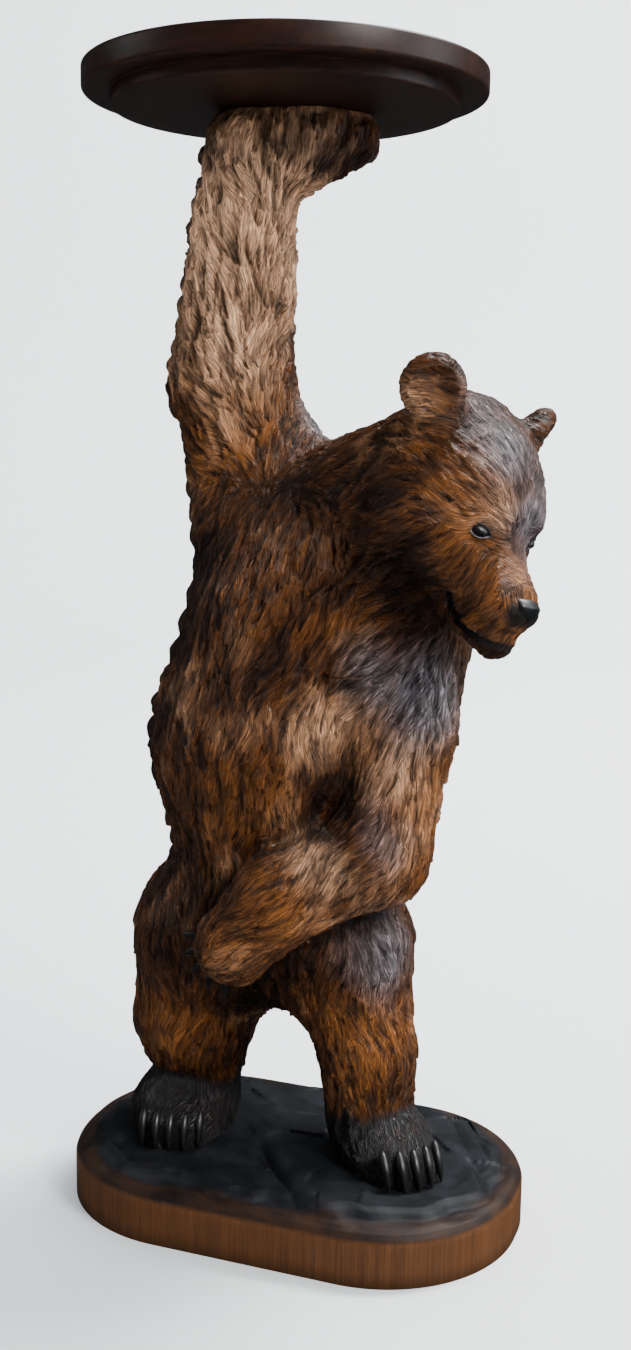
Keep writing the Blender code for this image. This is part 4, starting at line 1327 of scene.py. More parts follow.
def rock_base():
    """The base: a grid drawn out to the outline, raised to the rock, with its side drawn down."""
    deselect()
    bpy.ops.mesh.primitive_grid_add(x_subdivisions=BASE_GRID[0], y_subdivisions=BASE_GRID[1], size=2)
    base = bpy.context.object
    base.name = "rock_base"
    mesh = base.data
    square = vertex_array(mesh)[:, :2]
    disc = np.stack([
        square[:, 0] * np.sqrt(1 - square[:, 1] ** 2 / 2),
        square[:, 1] * np.sqrt(1 - square[:, 0] ** 2 / 2),
    ], axis=1)
    share = np.clip(np.linalg.norm(disc, axis=1), 0, 1)
    angle = np.arctan2(disc[:, 1], disc[:, 0])
    spread = np.clip(share + EDGE_CROWDING * np.sin(math.pi * share) * share, 0, 1)
    reach = outline_reach(angle) * spread
    flat = np.stack([np.cos(angle), np.sin(angle)], axis=1) * reach[:, None]
    half_x, half_y = BASE_LENGTH / 2 - BASE_CORNER, BASE_WIDTH / 2 - BASE_CORNER
    inset = np.maximum(-stadium_distance(flat, half_x, half_y), 0.0)
    along, across, around = BORDER_WAVES
    wander = np.sin(flat[:, 0] * along) * np.cos(flat[:, 1] * across) + np.sin(angle * around) / 2
    wander = BORDER_WANDER * wander * np.clip((inset - WANDER_FROM) / WANDER_RUN, 0, 1)
    inset = np.maximum(inset + wander, 0.0)
    insets, shares = zip(*BORDER)
    height = BASE_SIDE + np.interp(inset, insets, shares) * (BASE_TOP - BASE_SIDE)
    rock = np.clip((inset - RELIEF_FROM) / RELIEF_RUN, 0, 1)
    height = height + rock * rock_relief(flat[:, 0], flat[:, 1])
    set_places(mesh, np.column_stack([flat, height]))
    activate(base)
    bpy.ops.object.mode_set(mode="EDIT")
    bpy.ops.mesh.select_mode(type="EDGE")
    bpy.ops.mesh.select_all(action="DESELECT")
    bpy.ops.mesh.select_non_manifold()
    for _ in range(SIDE_STEPS):
        drop = {"value": (0, 0, -BASE_SIDE / SIDE_STEPS)}
        bpy.ops.mesh.extrude_region_move(TRANSFORM_OT_translate=drop)
    bpy.ops.mesh.edge_face_add()
    bpy.ops.mesh.select_all(action="SELECT")
    bpy.ops.mesh.normals_make_consistent(inside=False)
    bpy.ops.object.mode_set(mode="OBJECT")
    places = vertex_array(mesh)
    places[:, 2] = np.maximum(places[:, 2], 0.0)
    set_places(mesh, places)
    inset = np.maximum(-stadium_distance(places[:, :2], half_x, half_y), 0.0)
    add_attribute(mesh, "inset", inset)
    smooth_by_angle(base, BASE_SMOOTH)
    return base


def smooth_by_angle(made, angle):
    """Shade a piece smoothly, but for edges sharper than this."""
    activate(made)
    bpy.ops.object.shade_smooth_by_angle(angle=math.radians(angle))


def rounded_corner(x, z, radius, first, last):
    """Points round a small arc of the tray's section, between two angles in degrees."""
    steps = range(CORNER_STEPS + 1)
    angles = [math.radians(first + (last - first) * step / CORNER_STEPS) for step in steps]
    return [(x + radius * math.cos(angle), z + radius * math.sin(angle)) for angle in angles]


def turned_tray():
    """The tray: a circle drawn out ring by ring along its section, closed at both middles."""
    middle = (TRAY_LOW + TRAY_HIGH) / 2
    rim_radius = (TRAY_HIGH.x - TRAY_LOW.x) / 2 - INSIDE
    rim_low = TRAY_HIGH.z - TRAY_RIM
    step_radius = STEP_DIAMETER / 2
    profile = rounded_corner(rim_radius - TRAY_EDGE, TRAY_HIGH.z - TRAY_EDGE, TRAY_EDGE, 90, 0)
    profile += rounded_corner(rim_radius - TRAY_EDGE, rim_low + TRAY_EDGE, TRAY_EDGE, 0, -90)
    profile += [(step_radius + STEP_CHAMFER, rim_low), (step_radius, rim_low - STEP_CHAMFER)]
    low_corner = TRAY_LOW.z + STEP_EDGE
    profile += rounded_corner(step_radius - STEP_EDGE, low_corner, STEP_EDGE, 0, -90)
    profile += [(step_radius * share, TRAY_LOW.z) for share in reversed(FLAT_RINGS)]
    inner = [(rim_radius * share, TRAY_HIGH.z) for share in FLAT_RINGS]
    profile = inner + profile
    deselect()
    bpy.ops.mesh.primitive_circle_add(
        vertices=TRAY_SIDES, radius=profile[0][0], fill_type="TRIFAN", location=(0, 0, profile[0][1])
    )
    tray = bpy.context.object
    tray.name = "turned_tray"
    bpy.ops.object.transform_apply(location=True)
    bpy.ops.object.mode_set(mode="EDIT")
    bpy.ops.mesh.select_mode(type="EDGE")
    bpy.ops.mesh.select_all(action="DESELECT")
    bpy.ops.mesh.select_non_manifold()
    for (radius, height), (next_radius, next_height) in zip(profile, profile[1:]):
        rise = {"value": (0, 0, next_height - height)}
        bpy.ops.mesh.extrude_region_move(TRANSFORM_OT_translate=rise)
        grow = next_radius / radius
        bpy.ops.transform.resize(value=(grow, grow, 1), center_override=(0, 0, 0))
    bpy.ops.mesh.edge_face_add()
    bpy.ops.mesh.poke()
    bpy.ops.mesh.select_all(action="SELECT")
    bpy.ops.mesh.normals_make_consistent(inside=False)
    bpy.ops.object.mode_set(mode="OBJECT")
    places = vertex_array(tray.data) + np.array([middle.x, middle.y, 0])
    set_places(tray.data, places)
    smooth_by_angle(tray, TRAY_SMOOTH)
    return tray


def claw_runs():
    """The claws on both feet and on the bent arm's paw: start, end and how thick at the root."""
    runs = []
    for middle, heading, toes in FOOT_CLAWS:
        ahead = Vector((math.sin(math.radians(heading)), -math.cos(math.radians(heading)), 0))
        aside = Vector((-ahead.y, ahead.x, 0))
        half_spread = max(toes)
        for toe in toes:
            reach = CLAW_REACH - CLAW_SET_BACK * (toe / half_spread) ** 2
            tip = Vector(middle) + aside * toe + ahead * reach
            tip.z = CLAW_FOOT
            root = tip - ahead * CLAW_RUN + Vector((0, 0, CLAW_DROP))
            runs.append((root, tip, CLAW_ROOT))
    for angle in PAW_CLAWS:
        ahead = Vector((-math.cos(math.radians(angle)), 0, -math.sin(math.radians(angle))))
        root = Vector(PAW_MIDDLE) + ahead * PAW_CLAW_START
        runs.append((root, Vector(PAW_MIDDLE) + ahead * PAW_CLAW_END, PAW_CLAW_ROOT))
    return runs


def claw(name, root, tip, thick):
    """One claw: a ball drawn out from its root to its tip, humped and slightly hooked."""
    deselect()
    bpy.ops.mesh.primitive_uv_sphere_add(segments=18, ring_count=24, radius=1.0)
    made = bpy.context.object
    made.name = name
    balls = vertex_array(made.data)
    run = (tip - root).normalized()
    length = (tip - root).length
    up = Vector(STEEP_CLAW_TOP) if abs(run.z) > STEEP_CLAW else Vector((0, 0, 1))
    up = (up - run * up.dot(run)).normalized()
    aside = run.cross(up)
    share = (1 - balls[:, 2]) / 2
    radius = thick + (CLAW_TIP - thick) * share
    along = -thick + share * (length + thick + CLAW_TIP)
    hook = CLAW_HOOK * length * np.sin(math.pi * share)
    places = np.array(root) + along[:, None] * np.array(run)
    places = places + (balls[:, 0] * radius)[:, None] * np.array(aside)
    places = places + (balls[:, 1] * radius * CLAW_DEEPER + hook)[:, None] * np.array(up)
    places = places * UNIT
    places[:, 2] = np.maximum(places[:, 2] + BASE_TOP, BASE_TOP - CLAW_SINK)
    set_places(made.data, places)
    bpy.ops.object.shade_smooth()
    return made


def set_on_head(made, local):
    """Place a mesh by a matrix of the head's own frame, in drawn millimetres."""
    made.data.transform(HEAD_MATRIX @ local)
    places = vertex_array(made.data) * UNIT
    places[:, 2] += BASE_TOP
    set_places(made.data, places)
    bpy.ops.object.shade_smooth()


def ball(name, place, sizes, turn, shape=None):
    """A smooth ball at a place of the head, reshaped first if a function for that is given."""
    deselect()
    bpy.ops.mesh.primitive_uv_sphere_add(segments=48, ring_count=32, radius=1.0)
    made = bpy.context.object
    made.name = name
    if shape:
        set_places(made.data, shape(vertex_array(made.data)))
    turned = Euler([math.radians(angle) for angle in turn])
    set_on_head(made, Matrix.LocRotScale(Vector(place), turned, Vector(sizes)))
    return made


def nose_shape(balls):
    """The nose pad: broad and flat above, narrower below, with a dent for each nostril."""
    largest = np.max(np.abs(balls), axis=1)[:, None]
    balls = balls * (1 + NOSE_SQUARENESS * (1 / largest - 1))
    x, y, z = balls.T
    wide = NOSE_SIZE[1] * (NOSE_WIDEN[0] + NOSE_WIDEN[1] * z)
    deep = NOSE_SIZE[0] * (1.0 + NOSE_DEEPEN * z)
    aside, up, size, depth = NOSTRIL
    nostril = np.exp(-(((np.abs(y) - aside) / size) ** 2) - ((z - up) / size) ** 2) * (x > 0)
    flat_top = np.minimum(z, NOSE_FLAT + (1 - NOSE_FLAT) * z)
    return np.stack([deep * (x - depth * nostril), wide * y, NOSE_SIZE[2] * flat_top], axis=1)


def eyelids(name, place, side):
    """A thin almond ring round an eye."""
    deselect()
    bpy.ops.mesh.primitive_torus_add(
        major_radius=1.0, minor_radius=LID_THICKNESS, major_segments=48, minor_segments=12
    )
    made = bpy.context.object
    made.name = name
    ring = vertex_array(made.data)
    almond = LID_SIZE[1] * (1 - LID_ALMOND * ring[:, 0] ** 2)
    drawn = [ring[:, 0] * LID_SIZE[0], ring[:, 1] * almond, ring[:, 2] * LID_PROUD]
    set_places(made.data, np.stack(drawn, axis=1))
    # The lower rim takes the painted highlight
    add_attribute(made.data, "rim", np.clip(-ring[:, 1] * LID_RIM, 0, 1))
    ahead = Vector((LID_WAY[0], LID_WAY[1] * side, LID_WAY[2])).normalized()
    up = Vector((0, 0, 1))
    along = up.cross(ahead).normalized()
    axes = Matrix((along, ahead.cross(along), ahead)).transposed().to_4x4()
    set_on_head(made, Matrix.Translation(Vector(place) + ahead * LID_AHEAD) @ axes)
    return made


def add_node(tree, kind, inputs=None, **settings):
    """A shader node; each input is a value or another node's output."""
    made = tree.nodes.new(kind)
    for setting, value in settings.items():
        setattr(made, setting, value)
    for socket, value in (inputs or {}).items():
        if isinstance(value, bpy.types.NodeSocket):
            tree.links.new(value, made.inputs[socket])
        else:
            made.inputs[socket].default_value = value
    return made


def mixed(tree, share, one, other, blend="MIX"):
    """Two colours mixed."""
    made = add_node(tree, "ShaderNodeMix", data_type="RGBA", blend_type=blend)
    for socket, value in ((0, share), (6, one), (7, other)):
        if isinstance(value, bpy.types.NodeSocket):
            tree.links.new(value, made.inputs[socket])
        else:
            made.inputs[socket].default_value = value
    return made.outputs[2]


def maths(tree, operation, one, other=0.0, clamp=False):
    """A sum on two values."""
    made = add_node(tree, "ShaderNodeMath", {0: one, 1: other}, operation=operation, use_clamp=clamp)
    return made.outputs[0]


def mapped(tree, value, low, high, to_low=0.0, to_high=1.0):
    """A value moved from one range to another."""
    inputs = {"Value": value, "From Min": low, "From Max": high, "To Min": to_low, "To Max": to_high}
    return add_node(tree, "ShaderNodeMapRange", inputs, clamp=True).outputs["Result"]


def dimmed(tree, colour, value):
    """A colour times a value."""
    made = add_node(tree, "ShaderNodeVectorMath", {0: colour, "Scale": value}, operation="SCALE")
    return made.outputs["Vector"]


def reading(tree, name):
    """A number kept on the piece's vertices."""
    return add_node(tree, "ShaderNodeAttribute", attribute_name=name).outputs["Fac"]


def stretched(tree, place, scale):
    """A place stretched along its axes."""
    return add_node(tree, "ShaderNodeMapping", {"Vector": place, "Scale": scale}).outputs["Vector"]


def noise_value(tree, place, scale, detail=3.0, roughness=0.5):
    """Cloudy noise between nought and one."""
    inputs = {"Vector": place, "Scale": scale, "Detail": detail, "Roughness": roughness}
    return add_node(tree, "ShaderNodeTexNoise", inputs).outputs["Fac"]


def new_material(name):
    """An empty material with its surface shader and output joined up."""
    made = bpy.data.materials.new(name)
    made.use_nodes = True
    tree = made.node_tree
    tree.nodes.clear()
    surface = tree.nodes.new("ShaderNodeBsdfPrincipled")
    output = tree.nodes.new("ShaderNodeOutputMaterial")
    tree.links.new(surface.outputs[0], output.inputs[0])
    return made, tree, surface


def hair_lines(tree, hair, across, along, width):
    """Thin lines along the hair: one on each, nought between them."""
    cloud = noise_value(tree, stretched(tree, hair, (across, along, 1.0)), 1.0, 1.0, 0.5)
    away = maths(tree, "ABSOLUTE", maths(tree, "SUBTRACT", cloud, 0.5))
    return mapped(tree, away, 0.0, width, 1.0, 0.0)


def carved_material(settings):
    """Stained and waxed carving: the colours by mask with painted shade, painted sheen and painted glints,
    leaf-shaped gouge marks, and fine hair lines.
    """
    made, tree, surface = new_material("carved and stained wood")
    place = add_node(tree, "ShaderNodeTexCoord").outputs["Object"]
    hair = add_node(tree, "ShaderNodeUVMap", uv_map="hair").outputs["UV"]
    leaf_place = {"Vector": stretched(tree, hair, (*LEAF_MARKS, 1.0)), "Scale": 1.0}
    leaf_edge = add_node(
        tree, "ShaderNodeTexVoronoi", leaf_place, feature="DISTANCE_TO_EDGE", voronoi_dimensions="2D"
    ).outputs["Distance"]
    leaf_tone = add_node(
        tree, "ShaderNodeTexVoronoi", leaf_place, feature="F1", voronoi_dimensions="2D"
    ).outputs["Color"]
    bold = mapped(tree, reading(tree, "coarse"), BOLD_FROM, BOLD_FULL, 0.15, 1.0)
    crease = maths(tree, "MULTIPLY", mapped(tree, leaf_edge, 0.0, LEAF_CREASE, 1.0, 0.0), bold)
    lines = hair_lines(tree, hair, *DARK_LINES)
    fine_lines = hair_lines(tree, hair, *FINE_LINES)
    glints = hair_lines(tree, hair, *GLINT_LINES)
    streak = maths(tree, "MULTIPLY", reading(tree, "streak"), RAGGED_STREAK)
    ragged = maths(tree, "MULTIPLY", maths(tree, "ADD", reading(tree, "patch"), streak), RAGGED)
    warm = maths(tree, "ADD", reading(tree, "warm"), ragged)
    colour = mixed(tree, mapped(tree, warm, *WARM_RANGE), settings.mid_stain, settings.warm_stain)
    pale = maths(tree, "ADD", reading(tree, "pale"), ragged)
    colour = mixed(tree, mapped(tree, pale, *PALE_RANGE), colour, settings.pale_stain)
    dark = maths(tree, "SUBTRACT", reading(tree, "dark"), ragged)
    colour = mixed(tree, mapped(tree, dark, *DARK_RANGE), colour, settings.dark_stain_and_shade)
    # Painted sheen: the grey-blue reflection mixed into the colour
    grey = maths(tree, "ADD", reading(tree, "grey"), ragged)
    colour = mixed(tree, mapped(tree, grey, *SHEEN_RANGE), colour, settings.painted_sheen)
    groove = reading(tree, "groove")
    # Dark stain and painted shade in the deeper cuts
    colour = mixed(tree, mapped(tree, groove, *GROOVE_RANGE), colour, settings.dark_stain_and_shade)
    colour = dimmed(tree, colour, mapped(tree, reading(tree, "tone"), -1.0, 1.0, *TONE_DIM))
    colour = dimmed(tree, colour, mapped(tree, leaf_tone, 0.2, 0.8, *LEAF_DIM))
    # Painted shade with dark stain along the leaf creases and the cut lines
    colour = dimmed(tree, colour, mapped(tree, crease, 0.0, 1.0, *CREASE_DIM))
    colour = dimmed(tree, colour, mapped(tree, lines, 0.0, 1.0, *LINE_DIM))
    colour = dimmed(tree, colour, mapped(tree, fine_lines, 0.0, 1.0, *FINE_LINE_DIM))
    # Painted glints along the hair
    shine = maths(tree, "MULTIPLY", glints, mapped(tree, grey, 0.2, 1.0, *SHINE))
    colour = dimmed(tree, colour, maths(tree, "ADD", shine, SHINE_FLOOR))
    # Painted shade from the nearby forms
    colour = dimmed(tree, colour, mapped(tree, reading(tree, "shade"), 0.1, 1.0, *SHADE_DIM))
    colour = mixed(tree, maths(tree, "MULTIPLY", reading(tree, "soot"), SOOT_SHARE), colour, settings.soot)
    tree.links.new(colour, surface.inputs["Base Color"])
    spot = noise_value(tree, place, 300.0, 2.0, 0.6)
    rough = mapped(tree, groove, 0.0, 1.0, *CARVED_ROUGHNESS)
    rough = maths(tree, "ADD", rough, mapped(tree, spot, 0.3, 0.7, *ROUGHNESS_VARIES))
    tree.links.new(rough, surface.inputs["Roughness"])
    surface.inputs["Specular IOR Level"].default_value = CARVED_GLOSS
    leaf = maths(tree, "MULTIPLY", mapped(tree, leaf_edge, 0.0, 0.3, 0.0, LEAF_HEIGHT), bold)
    height = maths(tree, "SUBTRACT", leaf, maths(tree, "MULTIPLY", lines, LINE_HEIGHT))
    height = maths(tree, "SUBTRACT", height, maths(tree, "MULTIPLY", fine_lines, FINE_LINE_HEIGHT))
    height = maths(tree, "ADD", height, maths(tree, "MULTIPLY", glints, GLINT_HEIGHT))
    bump = add_node(tree, "ShaderNodeBump", {"Height": height, "Strength": 1.0, "Distance": CARVED_BUMP})
    tree.links.new(bump.outputs["Normal"], surface.inputs["Normal"])
    return made


def wood_grain_group():
    """Long fine grain: a value from a place that has been stretched across the grain."""
    group = bpy.data.node_groups.new("long wood grain", "ShaderNodeTree")
    group.interface.new_socket("Place", in_out="INPUT", socket_type="NodeSocketVector")
    group.interface.new_socket("Grain", in_out="OUTPUT", socket_type="NodeSocketFloat")
    place = group.nodes.new("NodeGroupInput").outputs["Place"]
    output = group.nodes.new("NodeGroupOutput")
    broad = noise_value(group, place, 1.0, 3.0, 0.55)
    fine = noise_value(group, place, 4.0, 2.0, 0.5)
    grain = maths(group, "ADD", maths(group, "MULTIPLY", broad, 0.7), maths(group, "MULTIPLY", fine, 0.3))
    group.links.new(grain, output.inputs["Grain"])
    return group


def grain_value(tree, place, scale):
    """The shared grain, at this stretch along each axis."""
    name = "long wood grain"
    group = bpy.data.node_groups.get(name) or wood_grain_group()
    made = add_node(tree, "ShaderNodeGroup", node_tree=group)
    tree.links.new(stretched(tree, place, scale), made.inputs["Place"])
    return made.outputs["Grain"]


def base_material(settings):
    """Honey-brown side with upright grain, a darker border, and rock stained near black."""
    made, tree, surface = new_material("stained base and rock")
    place = add_node(tree, "ShaderNodeTexCoord").outputs["Object"]
    grain = grain_value(tree, place, BASE_GRAIN)
    patch = noise_value(tree, place, 60.0, 4.0, 0.6)
    height = add_node(tree, "ShaderNodeSeparateXYZ", {0: place}).outputs["Z"]
    side = mixed(tree, mapped(tree, grain, *GRAIN_RANGE), settings.base_dark, settings.base_brown)
    side = dimmed(tree, side, mapped(tree, height, 0.0, *FOOT_DIM, 1.0))
    rock = mixed(tree, mapped(tree, patch, 0.45, 0.7), settings.rock_black, settings.rock_grey)
    inset = reading(tree, "inset")
    ragged = maths(tree, "MULTIPLY", maths(tree, "SUBTRACT", patch, 0.5), BORDER_RAGGED)
    border = mixed(tree, mapped(tree, patch, 0.35, 0.6), settings.border_dark, settings.border_brown)
    colour = mixed(tree, mapped(tree, inset, *EDGE_RANGE), side, border)
    from_edge = maths(tree, "ADD", inset, ragged)
    colour = mixed(tree, mapped(tree, from_edge, *ROCK_RANGE), colour, rock)
    tree.links.new(colour, surface.inputs["Base Color"])
    surface.inputs["Roughness"].default_value = BASE_ROUGHNESS
    surface.inputs["Specular IOR Level"].default_value = BASE_GLOSS
    rough_height = maths(tree, "ADD", maths(tree, "MULTIPLY", grain, 0.3), patch)
    relief = {"Height": rough_height, "Strength": BASE_BUMP_STRENGTH, "Distance": BASE_BUMP}
    bump = add_node(tree, "ShaderNodeBump", relief)
    tree.links.new(bump.outputs["Normal"], surface.inputs["Normal"])
    return made


def tray_material(settings):
    """Walnut stain over close straight grain, satin."""
    made, tree, surface = new_material("walnut stained turning")
    place = add_node(tree, "ShaderNodeTexCoord").outputs["Object"]
    grain = grain_value(tree, place, TRAY_GRAIN)
    colour = mixed(tree, mapped(tree, grain, *GRAIN_RANGE), settings.tray_dark, settings.tray_brown)
    tree.links.new(colour, surface.inputs["Base Color"])
    surface.inputs["Roughness"].default_value = TRAY_ROUGHNESS
    surface.inputs["Specular IOR Level"].default_value = TRAY_GLOSS
    return made


def lacquer_material(settings):
    """Black lacquer on the claws, the eyes and the nose."""
    made, tree, surface = new_material("black lacquer")
    place = add_node(tree, "ShaderNodeTexCoord").outputs["Object"]
    patch = noise_value(tree, place, 260.0, 2.0, 0.5)
    tree.links.new(mapped(tree, patch, 0.3, 0.7, *LACQUER_ROUGHNESS), surface.inputs["Roughness"])
    surface.inputs["Base Color"].default_value = settings.lacquer
    return made


def lid_material(settings):
    """The rim of the eyelids, stained and waxed, with a painted highlight on the lower rim."""
    made, tree, surface = new_material("eyelid wood")
    place = add_node(tree, "ShaderNodeTexCoord").outputs["Object"]
    patch = noise_value(tree, place, 300.0, 2.0, 0.5)
    colour = mixed(tree, mapped(tree, patch, 0.35, 0.65), settings.lacquer, settings.dark_stain_and_shade)
    # Painted highlight on the lower rim of the lids
    colour = mixed(tree, reading(tree, "rim"), colour, settings.painted_lid_highlight)
    tree.links.new(colour, surface.inputs["Base Color"])
    surface.inputs["Roughness"].default_value = LID_ROUGHNESS
    return made


def floor_material(settings):
    """A plain pale studio floor and wall."""
    made, _, surface = new_material("pale studio paper")
    surface.inputs["Base Color"].default_value = settings.paper
    surface.inputs["Roughness"].default_value = PAPER_ROUGHNESS
    return made


def cached_material(name, make, settings):
    """The material of this name, made the first time that it is asked for."""
    return bpy.data.materials.get(name) or make(settings)


def stain(name, default, words):
    """A colour property."""
    return bpy.props.FloatVectorProperty(
        name=name, description=words, default=default, size=4, min=0.0, max=1.0, subtype="COLOR"
    )


def light_power(name, default, words):
    """A property for the power of a light."""
    return bpy.props.FloatProperty(name=name, description=words, default=default, min=0.0, unit="POWER")


class CarvedBearSettings(bpy.types.PropertyGroup):
    """Sizes and colours of the carved bear."""

    cover: bpy.props.FloatProperty(
        name="Stroke cover", description="How many times over the strokes cover the wood",
        default=STROKE_COVER, min=0.5, max=4.0,
    )
    mid_stain: stain("Brown stain", (0.036, 0.0108, 0.0022, 1), "Most of the carving")
    warm_stain: stain("Warm stain", (0.165, 0.054, 0.0095, 1), "Where the stain has been rubbed thin")
    # Dark stain, also the colour of the painted shade
    dark_stain_and_shade: stain("Dark stain", (0.008, 0.0026, 0.001, 1), "In the cuts and the hollows")
    pale_stain: stain("Pale wood", (0.54, 0.30, 0.165, 1), "Where the wood is left light")
    # The colour of the painted sheen, a grey-blue reflection
    painted_sheen: stain("Painted sheen", (0.092, 0.085, 0.094, 1), "Painted grey-blue reflection")
    soot: stain("Black stain", (0.008, 0.0075, 0.008, 1), "The feet and round the mouth")
    base_brown: stain("Base brown", (0.085, 0.031, 0.008, 1), "Light grain of the base's side")
    base_dark: stain("Base dark grain", (0.046, 0.017, 0.005, 1), "Dark grain of the base's side")
    # The colour of the painted highlight on the lower lid
    painted_lid_highlight: stain("Lower lid", (0.16, 0.14, 0.15, 1), "The rim under the eye")
    border_brown: stain("Border brown", (0.025, 0.0115, 0.006, 1), "Where the stain has worn on the border")
    border_dark: stain("Border dark", (0.008, 0.005, 0.0042, 1), "The border round the rock")
    rock_black: stain("Rock black", (0.0045, 0.005, 0.0065, 1), "The rock's stain")
    rock_grey: stain("Rock grey", (0.012, 0.013, 0.016, 1), "Where the rock's stain has worn")
    tray_brown: stain("Tray brown", (0.021, 0.007, 0.0034, 1), "Light grain of the tray")
    tray_dark: stain("Tray dark grain", (0.008, 0.0034, 0.0022, 1), "Dark grain of the tray")
    lacquer: stain("Black lacquer", (0.003, 0.003, 0.0035, 1), "Claws, eyes and nose")
    paper: stain("Paper", (0.65, 0.665, 0.68, 1), "The studio's floor and wall")
    key_power: light_power("Main light", 34.0, "Power of the main light")
    fill_power: light_power("Side light", 2.5, "Power of the light on the left")
    top_power: light_power("Top light", 6.0, "Power of the light overhead")
    window_power: light_power("Window light", 9.0, "Power of the cool light on the right")
    wall_power: light_power("Wall light", 320.0, "Power of the light on the wall")
    air_light: bpy.props.FloatProperty(
        name="Air", description="Brightness of the light from all round", default=0.07, min=0.0,
    )


class BEAR_OT_carve(bpy.types.Operator):
    """Carve the bear's body, head and limbs with their fur"""

    bl_idname = "carved_bear.carve"
    bl_label = "Carve the bear"

    def execute(self, context):
        settings = context.scene.carved_bear
        figure = smooth_figure()
        part_lines(figure)
        mark_pieces(figure)
        carve(figure, settings.cover)
        wood = cached_material("carved and stained wood", carved_material, settings)
        for part in part_figure(figure):
            settle(part)
            part.data.materials.append(wood)
            belongs(part, "bear")
        return {"FINISHED"}


class BEAR_OT_base(bpy.types.Operator):
    """Shape the base with its rock"""

    bl_idname = "carved_bear.base"
    bl_label = "Shape the base"

    def execute(self, context):
        base = rock_base()
        wood = cached_material("stained base and rock", base_material, context.scene.carved_bear)
        base.data.materials.append(wood)
        belongs(base, "bear")
        return {"FINISHED"}


class BEAR_OT_tray(bpy.types.Operator):
    """Turn the tray that the raised paw holds"""

    bl_idname = "carved_bear.tray"
    bl_label = "Turn the tray"

    def execute(self, context):
        tray = turned_tray()
        wood = cached_material("walnut stained turning", tray_material, context.scene.carved_bear)
        tray.data.materials.append(wood)
        belongs(tray, "tray")
        return {"FINISHED"}


class BEAR_OT_claws(bpy.types.Operator):
    """Cut the claws of both feet and of the paw on the belly"""

    bl_idname = "carved_bear.claws"
    bl_label = "Cut the claws"

    def execute(self, context):
        black = cached_material("black lacquer", lacquer_material, context.scene.carved_bear)
        for number, (root, tip, thick) in enumerate(claw_runs()):
            made = claw(f"claw_{number + 1:02d}", root, tip, thick)
            made.data.materials.append(black)
            belongs(made, "bear")
        return {"FINISHED"}


class BEAR_OT_face(bpy.types.Operator):
    """Set the black eyes and nose"""

    bl_idname = "carved_bear.face"
    bl_label = "Set the eyes and nose"

    def execute(self, context):
        black = cached_material("black lacquer", lacquer_material, context.scene.carved_bear)
        lid_wood = cached_material("eyelid wood", lid_material, context.scene.carved_bear)
        for name, side in (("left", 1), ("right", -1)):
            place = (EYE_PLACE[0] - EYE_SET_BACK, EYE_PLACE[1] * side, EYE_PLACE[2])
            made = ball(name + "_eye", place, EYE_SIZE, (0, 0, 55 * side))
            made.data.materials.append(black)
            belongs(made, "bear")
            lids = eyelids(name + "_eyelids", place, side)
            lids.data.materials.append(lid_wood)
            belongs(lids, "bear")
        nose = ball("nose", NOSE_PLACE, (1, 1, 1), (0, 0, 0), nose_shape)
        nose.data.materials.append(black)
        belongs(nose, "bear")
        return {"FINISHED"}


class BEAR_OT_stage(bpy.types.Operator):
    """Set up the studio floor, the lights and the camera"""

    bl_idname = "carved_bear.stage"
    bl_label = "Set the stage"

    def execute(self, context):
        settings = context.scene.carved_bear
        floor = studio_sweep()
        floor.data.materials.append(cached_material("pale studio paper", floor_material, settings))
        middle = Vector((0, 0, HEIGHT * AIM_HEIGHT))
        for light, aim, power in (
            (MAIN_LIGHT, middle, settings.key_power),
            (SIDE_LIGHT, middle, settings.fill_power),
            (WINDOW_LIGHT, middle, settings.window_power),
            (TOP_LIGHT, middle, settings.top_power),
            (WALL_LIGHT, Vector(WALL_AIM), settings.wall_power),
        ):
            area_light(*light, aim, power)
        world = bpy.data.worlds.new("studio air")
        world.use_nodes = True
        world.node_tree.nodes["Background"].inputs["Color"].default_value = AIR_COLOUR
        world.node_tree.nodes["Background"].inputs["Strength"].default_value = settings.air_light
        context.scene.world = world
        aim_camera(context.scene)
        return {"FINISHED"}


def studio_sweep():
    """A round floor that curves up into a wall well behind the object."""
    deselect()
    bpy.ops.mesh.primitive_circle_add(vertices=128, radius=SWEEP_FLOOR, fill_type="NGON")
    floor = bpy.context.object
    floor.name = "studio_floor"
    bpy.ops.object.mode_set(mode="EDIT")
    bpy.ops.mesh.select_mode(type="EDGE")
    bpy.ops.mesh.select_all(action="DESELECT")
    bpy.ops.mesh.select_non_manifold()
    radius, height = SWEEP_FLOOR, 0.0
    section = []
    for step in range(1, SWEEP_STEPS + 1):
        angle = step * math.pi / (2 * SWEEP_STEPS)
        section.append((SWEEP_FLOOR + SWEEP_CURVE * math.sin(angle), SWEEP_CURVE * (1 - math.cos(angle))))
    section.append((SWEEP_FLOOR + SWEEP_CURVE, SWEEP_TOP))
    for next_radius, next_height in section:
        rise = {"value": (0, 0, next_height - height)}
        bpy.ops.mesh.extrude_region_move(TRANSFORM_OT_translate=rise)
        grow = next_radius / radius
        bpy.ops.transform.resize(value=(grow, grow, 1), center_override=(0, 0, 0))
        radius, height = next_radius, next_height
    bpy.ops.mesh.select_all(action="SELECT")
    bpy.ops.mesh.normals_make_consistent(inside=True)
    bpy.ops.object.mode_set(mode="OBJECT")
    bpy.ops.object.shade_smooth()
    floor.visible_glossy = False
    return floor


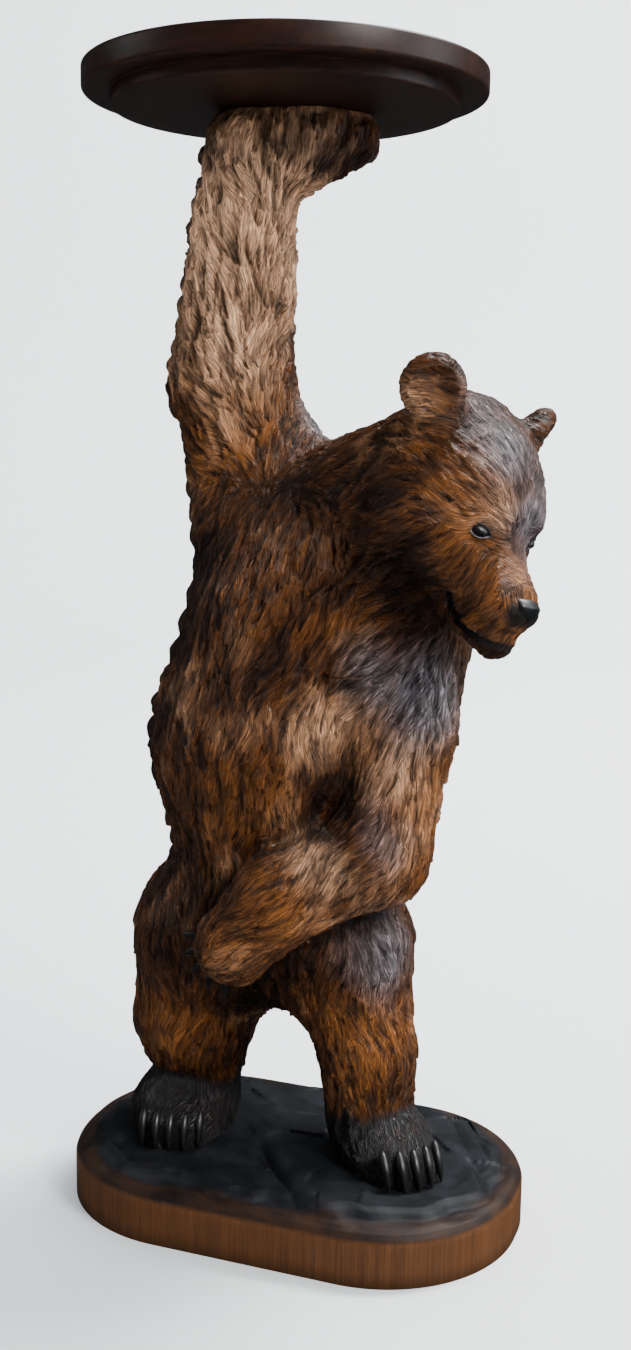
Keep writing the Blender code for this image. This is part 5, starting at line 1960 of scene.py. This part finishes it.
def area_light(name, place, size, colour, aim, power):
    """A soft square light aimed at a place."""
    data = bpy.data.lights.new(name, "AREA")
    data.size = size
    data.energy = power
    data.color = colour
    made = bpy.data.objects.new(name, data)
    bpy.context.scene.collection.objects.link(made)
    made.location = place
    made.rotation_euler = (aim - Vector(place)).to_track_quat("-Z", "Y").to_euler()
    return made


def aim_camera(scene):
    """The camera of the photograph."""
    data = bpy.data.cameras.new("camera")
    data.lens = CAMERA_LENS
    data.sensor_width = CAMERA_SENSOR
    camera = bpy.data.objects.new("camera", data)
    scene.collection.objects.link(camera)
    heading, pitch, roll = CAMERA_TURN
    turn = Matrix.Rotation(math.radians(heading), 4, "Z")
    turn = turn @ Matrix.Rotation(math.radians(90 + pitch), 4, "X")
    turn = turn @ Matrix.Rotation(math.radians(roll), 4, "Z")
    camera.matrix_world = Matrix.Translation(CAMERA_PLACE) @ turn
    scene.camera = camera


OPERATORS = (BEAR_OT_carve, BEAR_OT_base, BEAR_OT_tray, BEAR_OT_claws, BEAR_OT_face, BEAR_OT_stage)


class BEAR_PT_sidebar(bpy.types.Panel):
    """The steps and the colours of the carved bear."""

    bl_label = "Carved bear"
    bl_idname = "BEAR_PT_sidebar"
    bl_space_type = "VIEW_3D"
    bl_region_type = "UI"
    bl_category = "Carved bear"

    def draw(self, context):
        for step in OPERATORS:
            self.layout.operator(step.bl_idname)
        for name in CarvedBearSettings.__annotations__:
            self.layout.prop(context.scene.carved_bear, name)


CLASSES = (CarvedBearSettings, *OPERATORS, BEAR_PT_sidebar)


def register():
    """Add the settings, the operators and the panel."""
    for made in CLASSES:
        bpy.utils.register_class(made)
    bpy.types.Scene.carved_bear = bpy.props.PointerProperty(type=CarvedBearSettings)


def unregister():
    """Take them away again."""
    del bpy.types.Scene.carved_bear
    for made in reversed(CLASSES):
        bpy.utils.unregister_class(made)


def main():
    """Make every piece and the stage."""
    register()
    for step in OPERATORS:
        group, name = step.bl_idname.split(".")
        getattr(getattr(bpy.ops, group), name)()


if __name__ == "__main__":
    main()
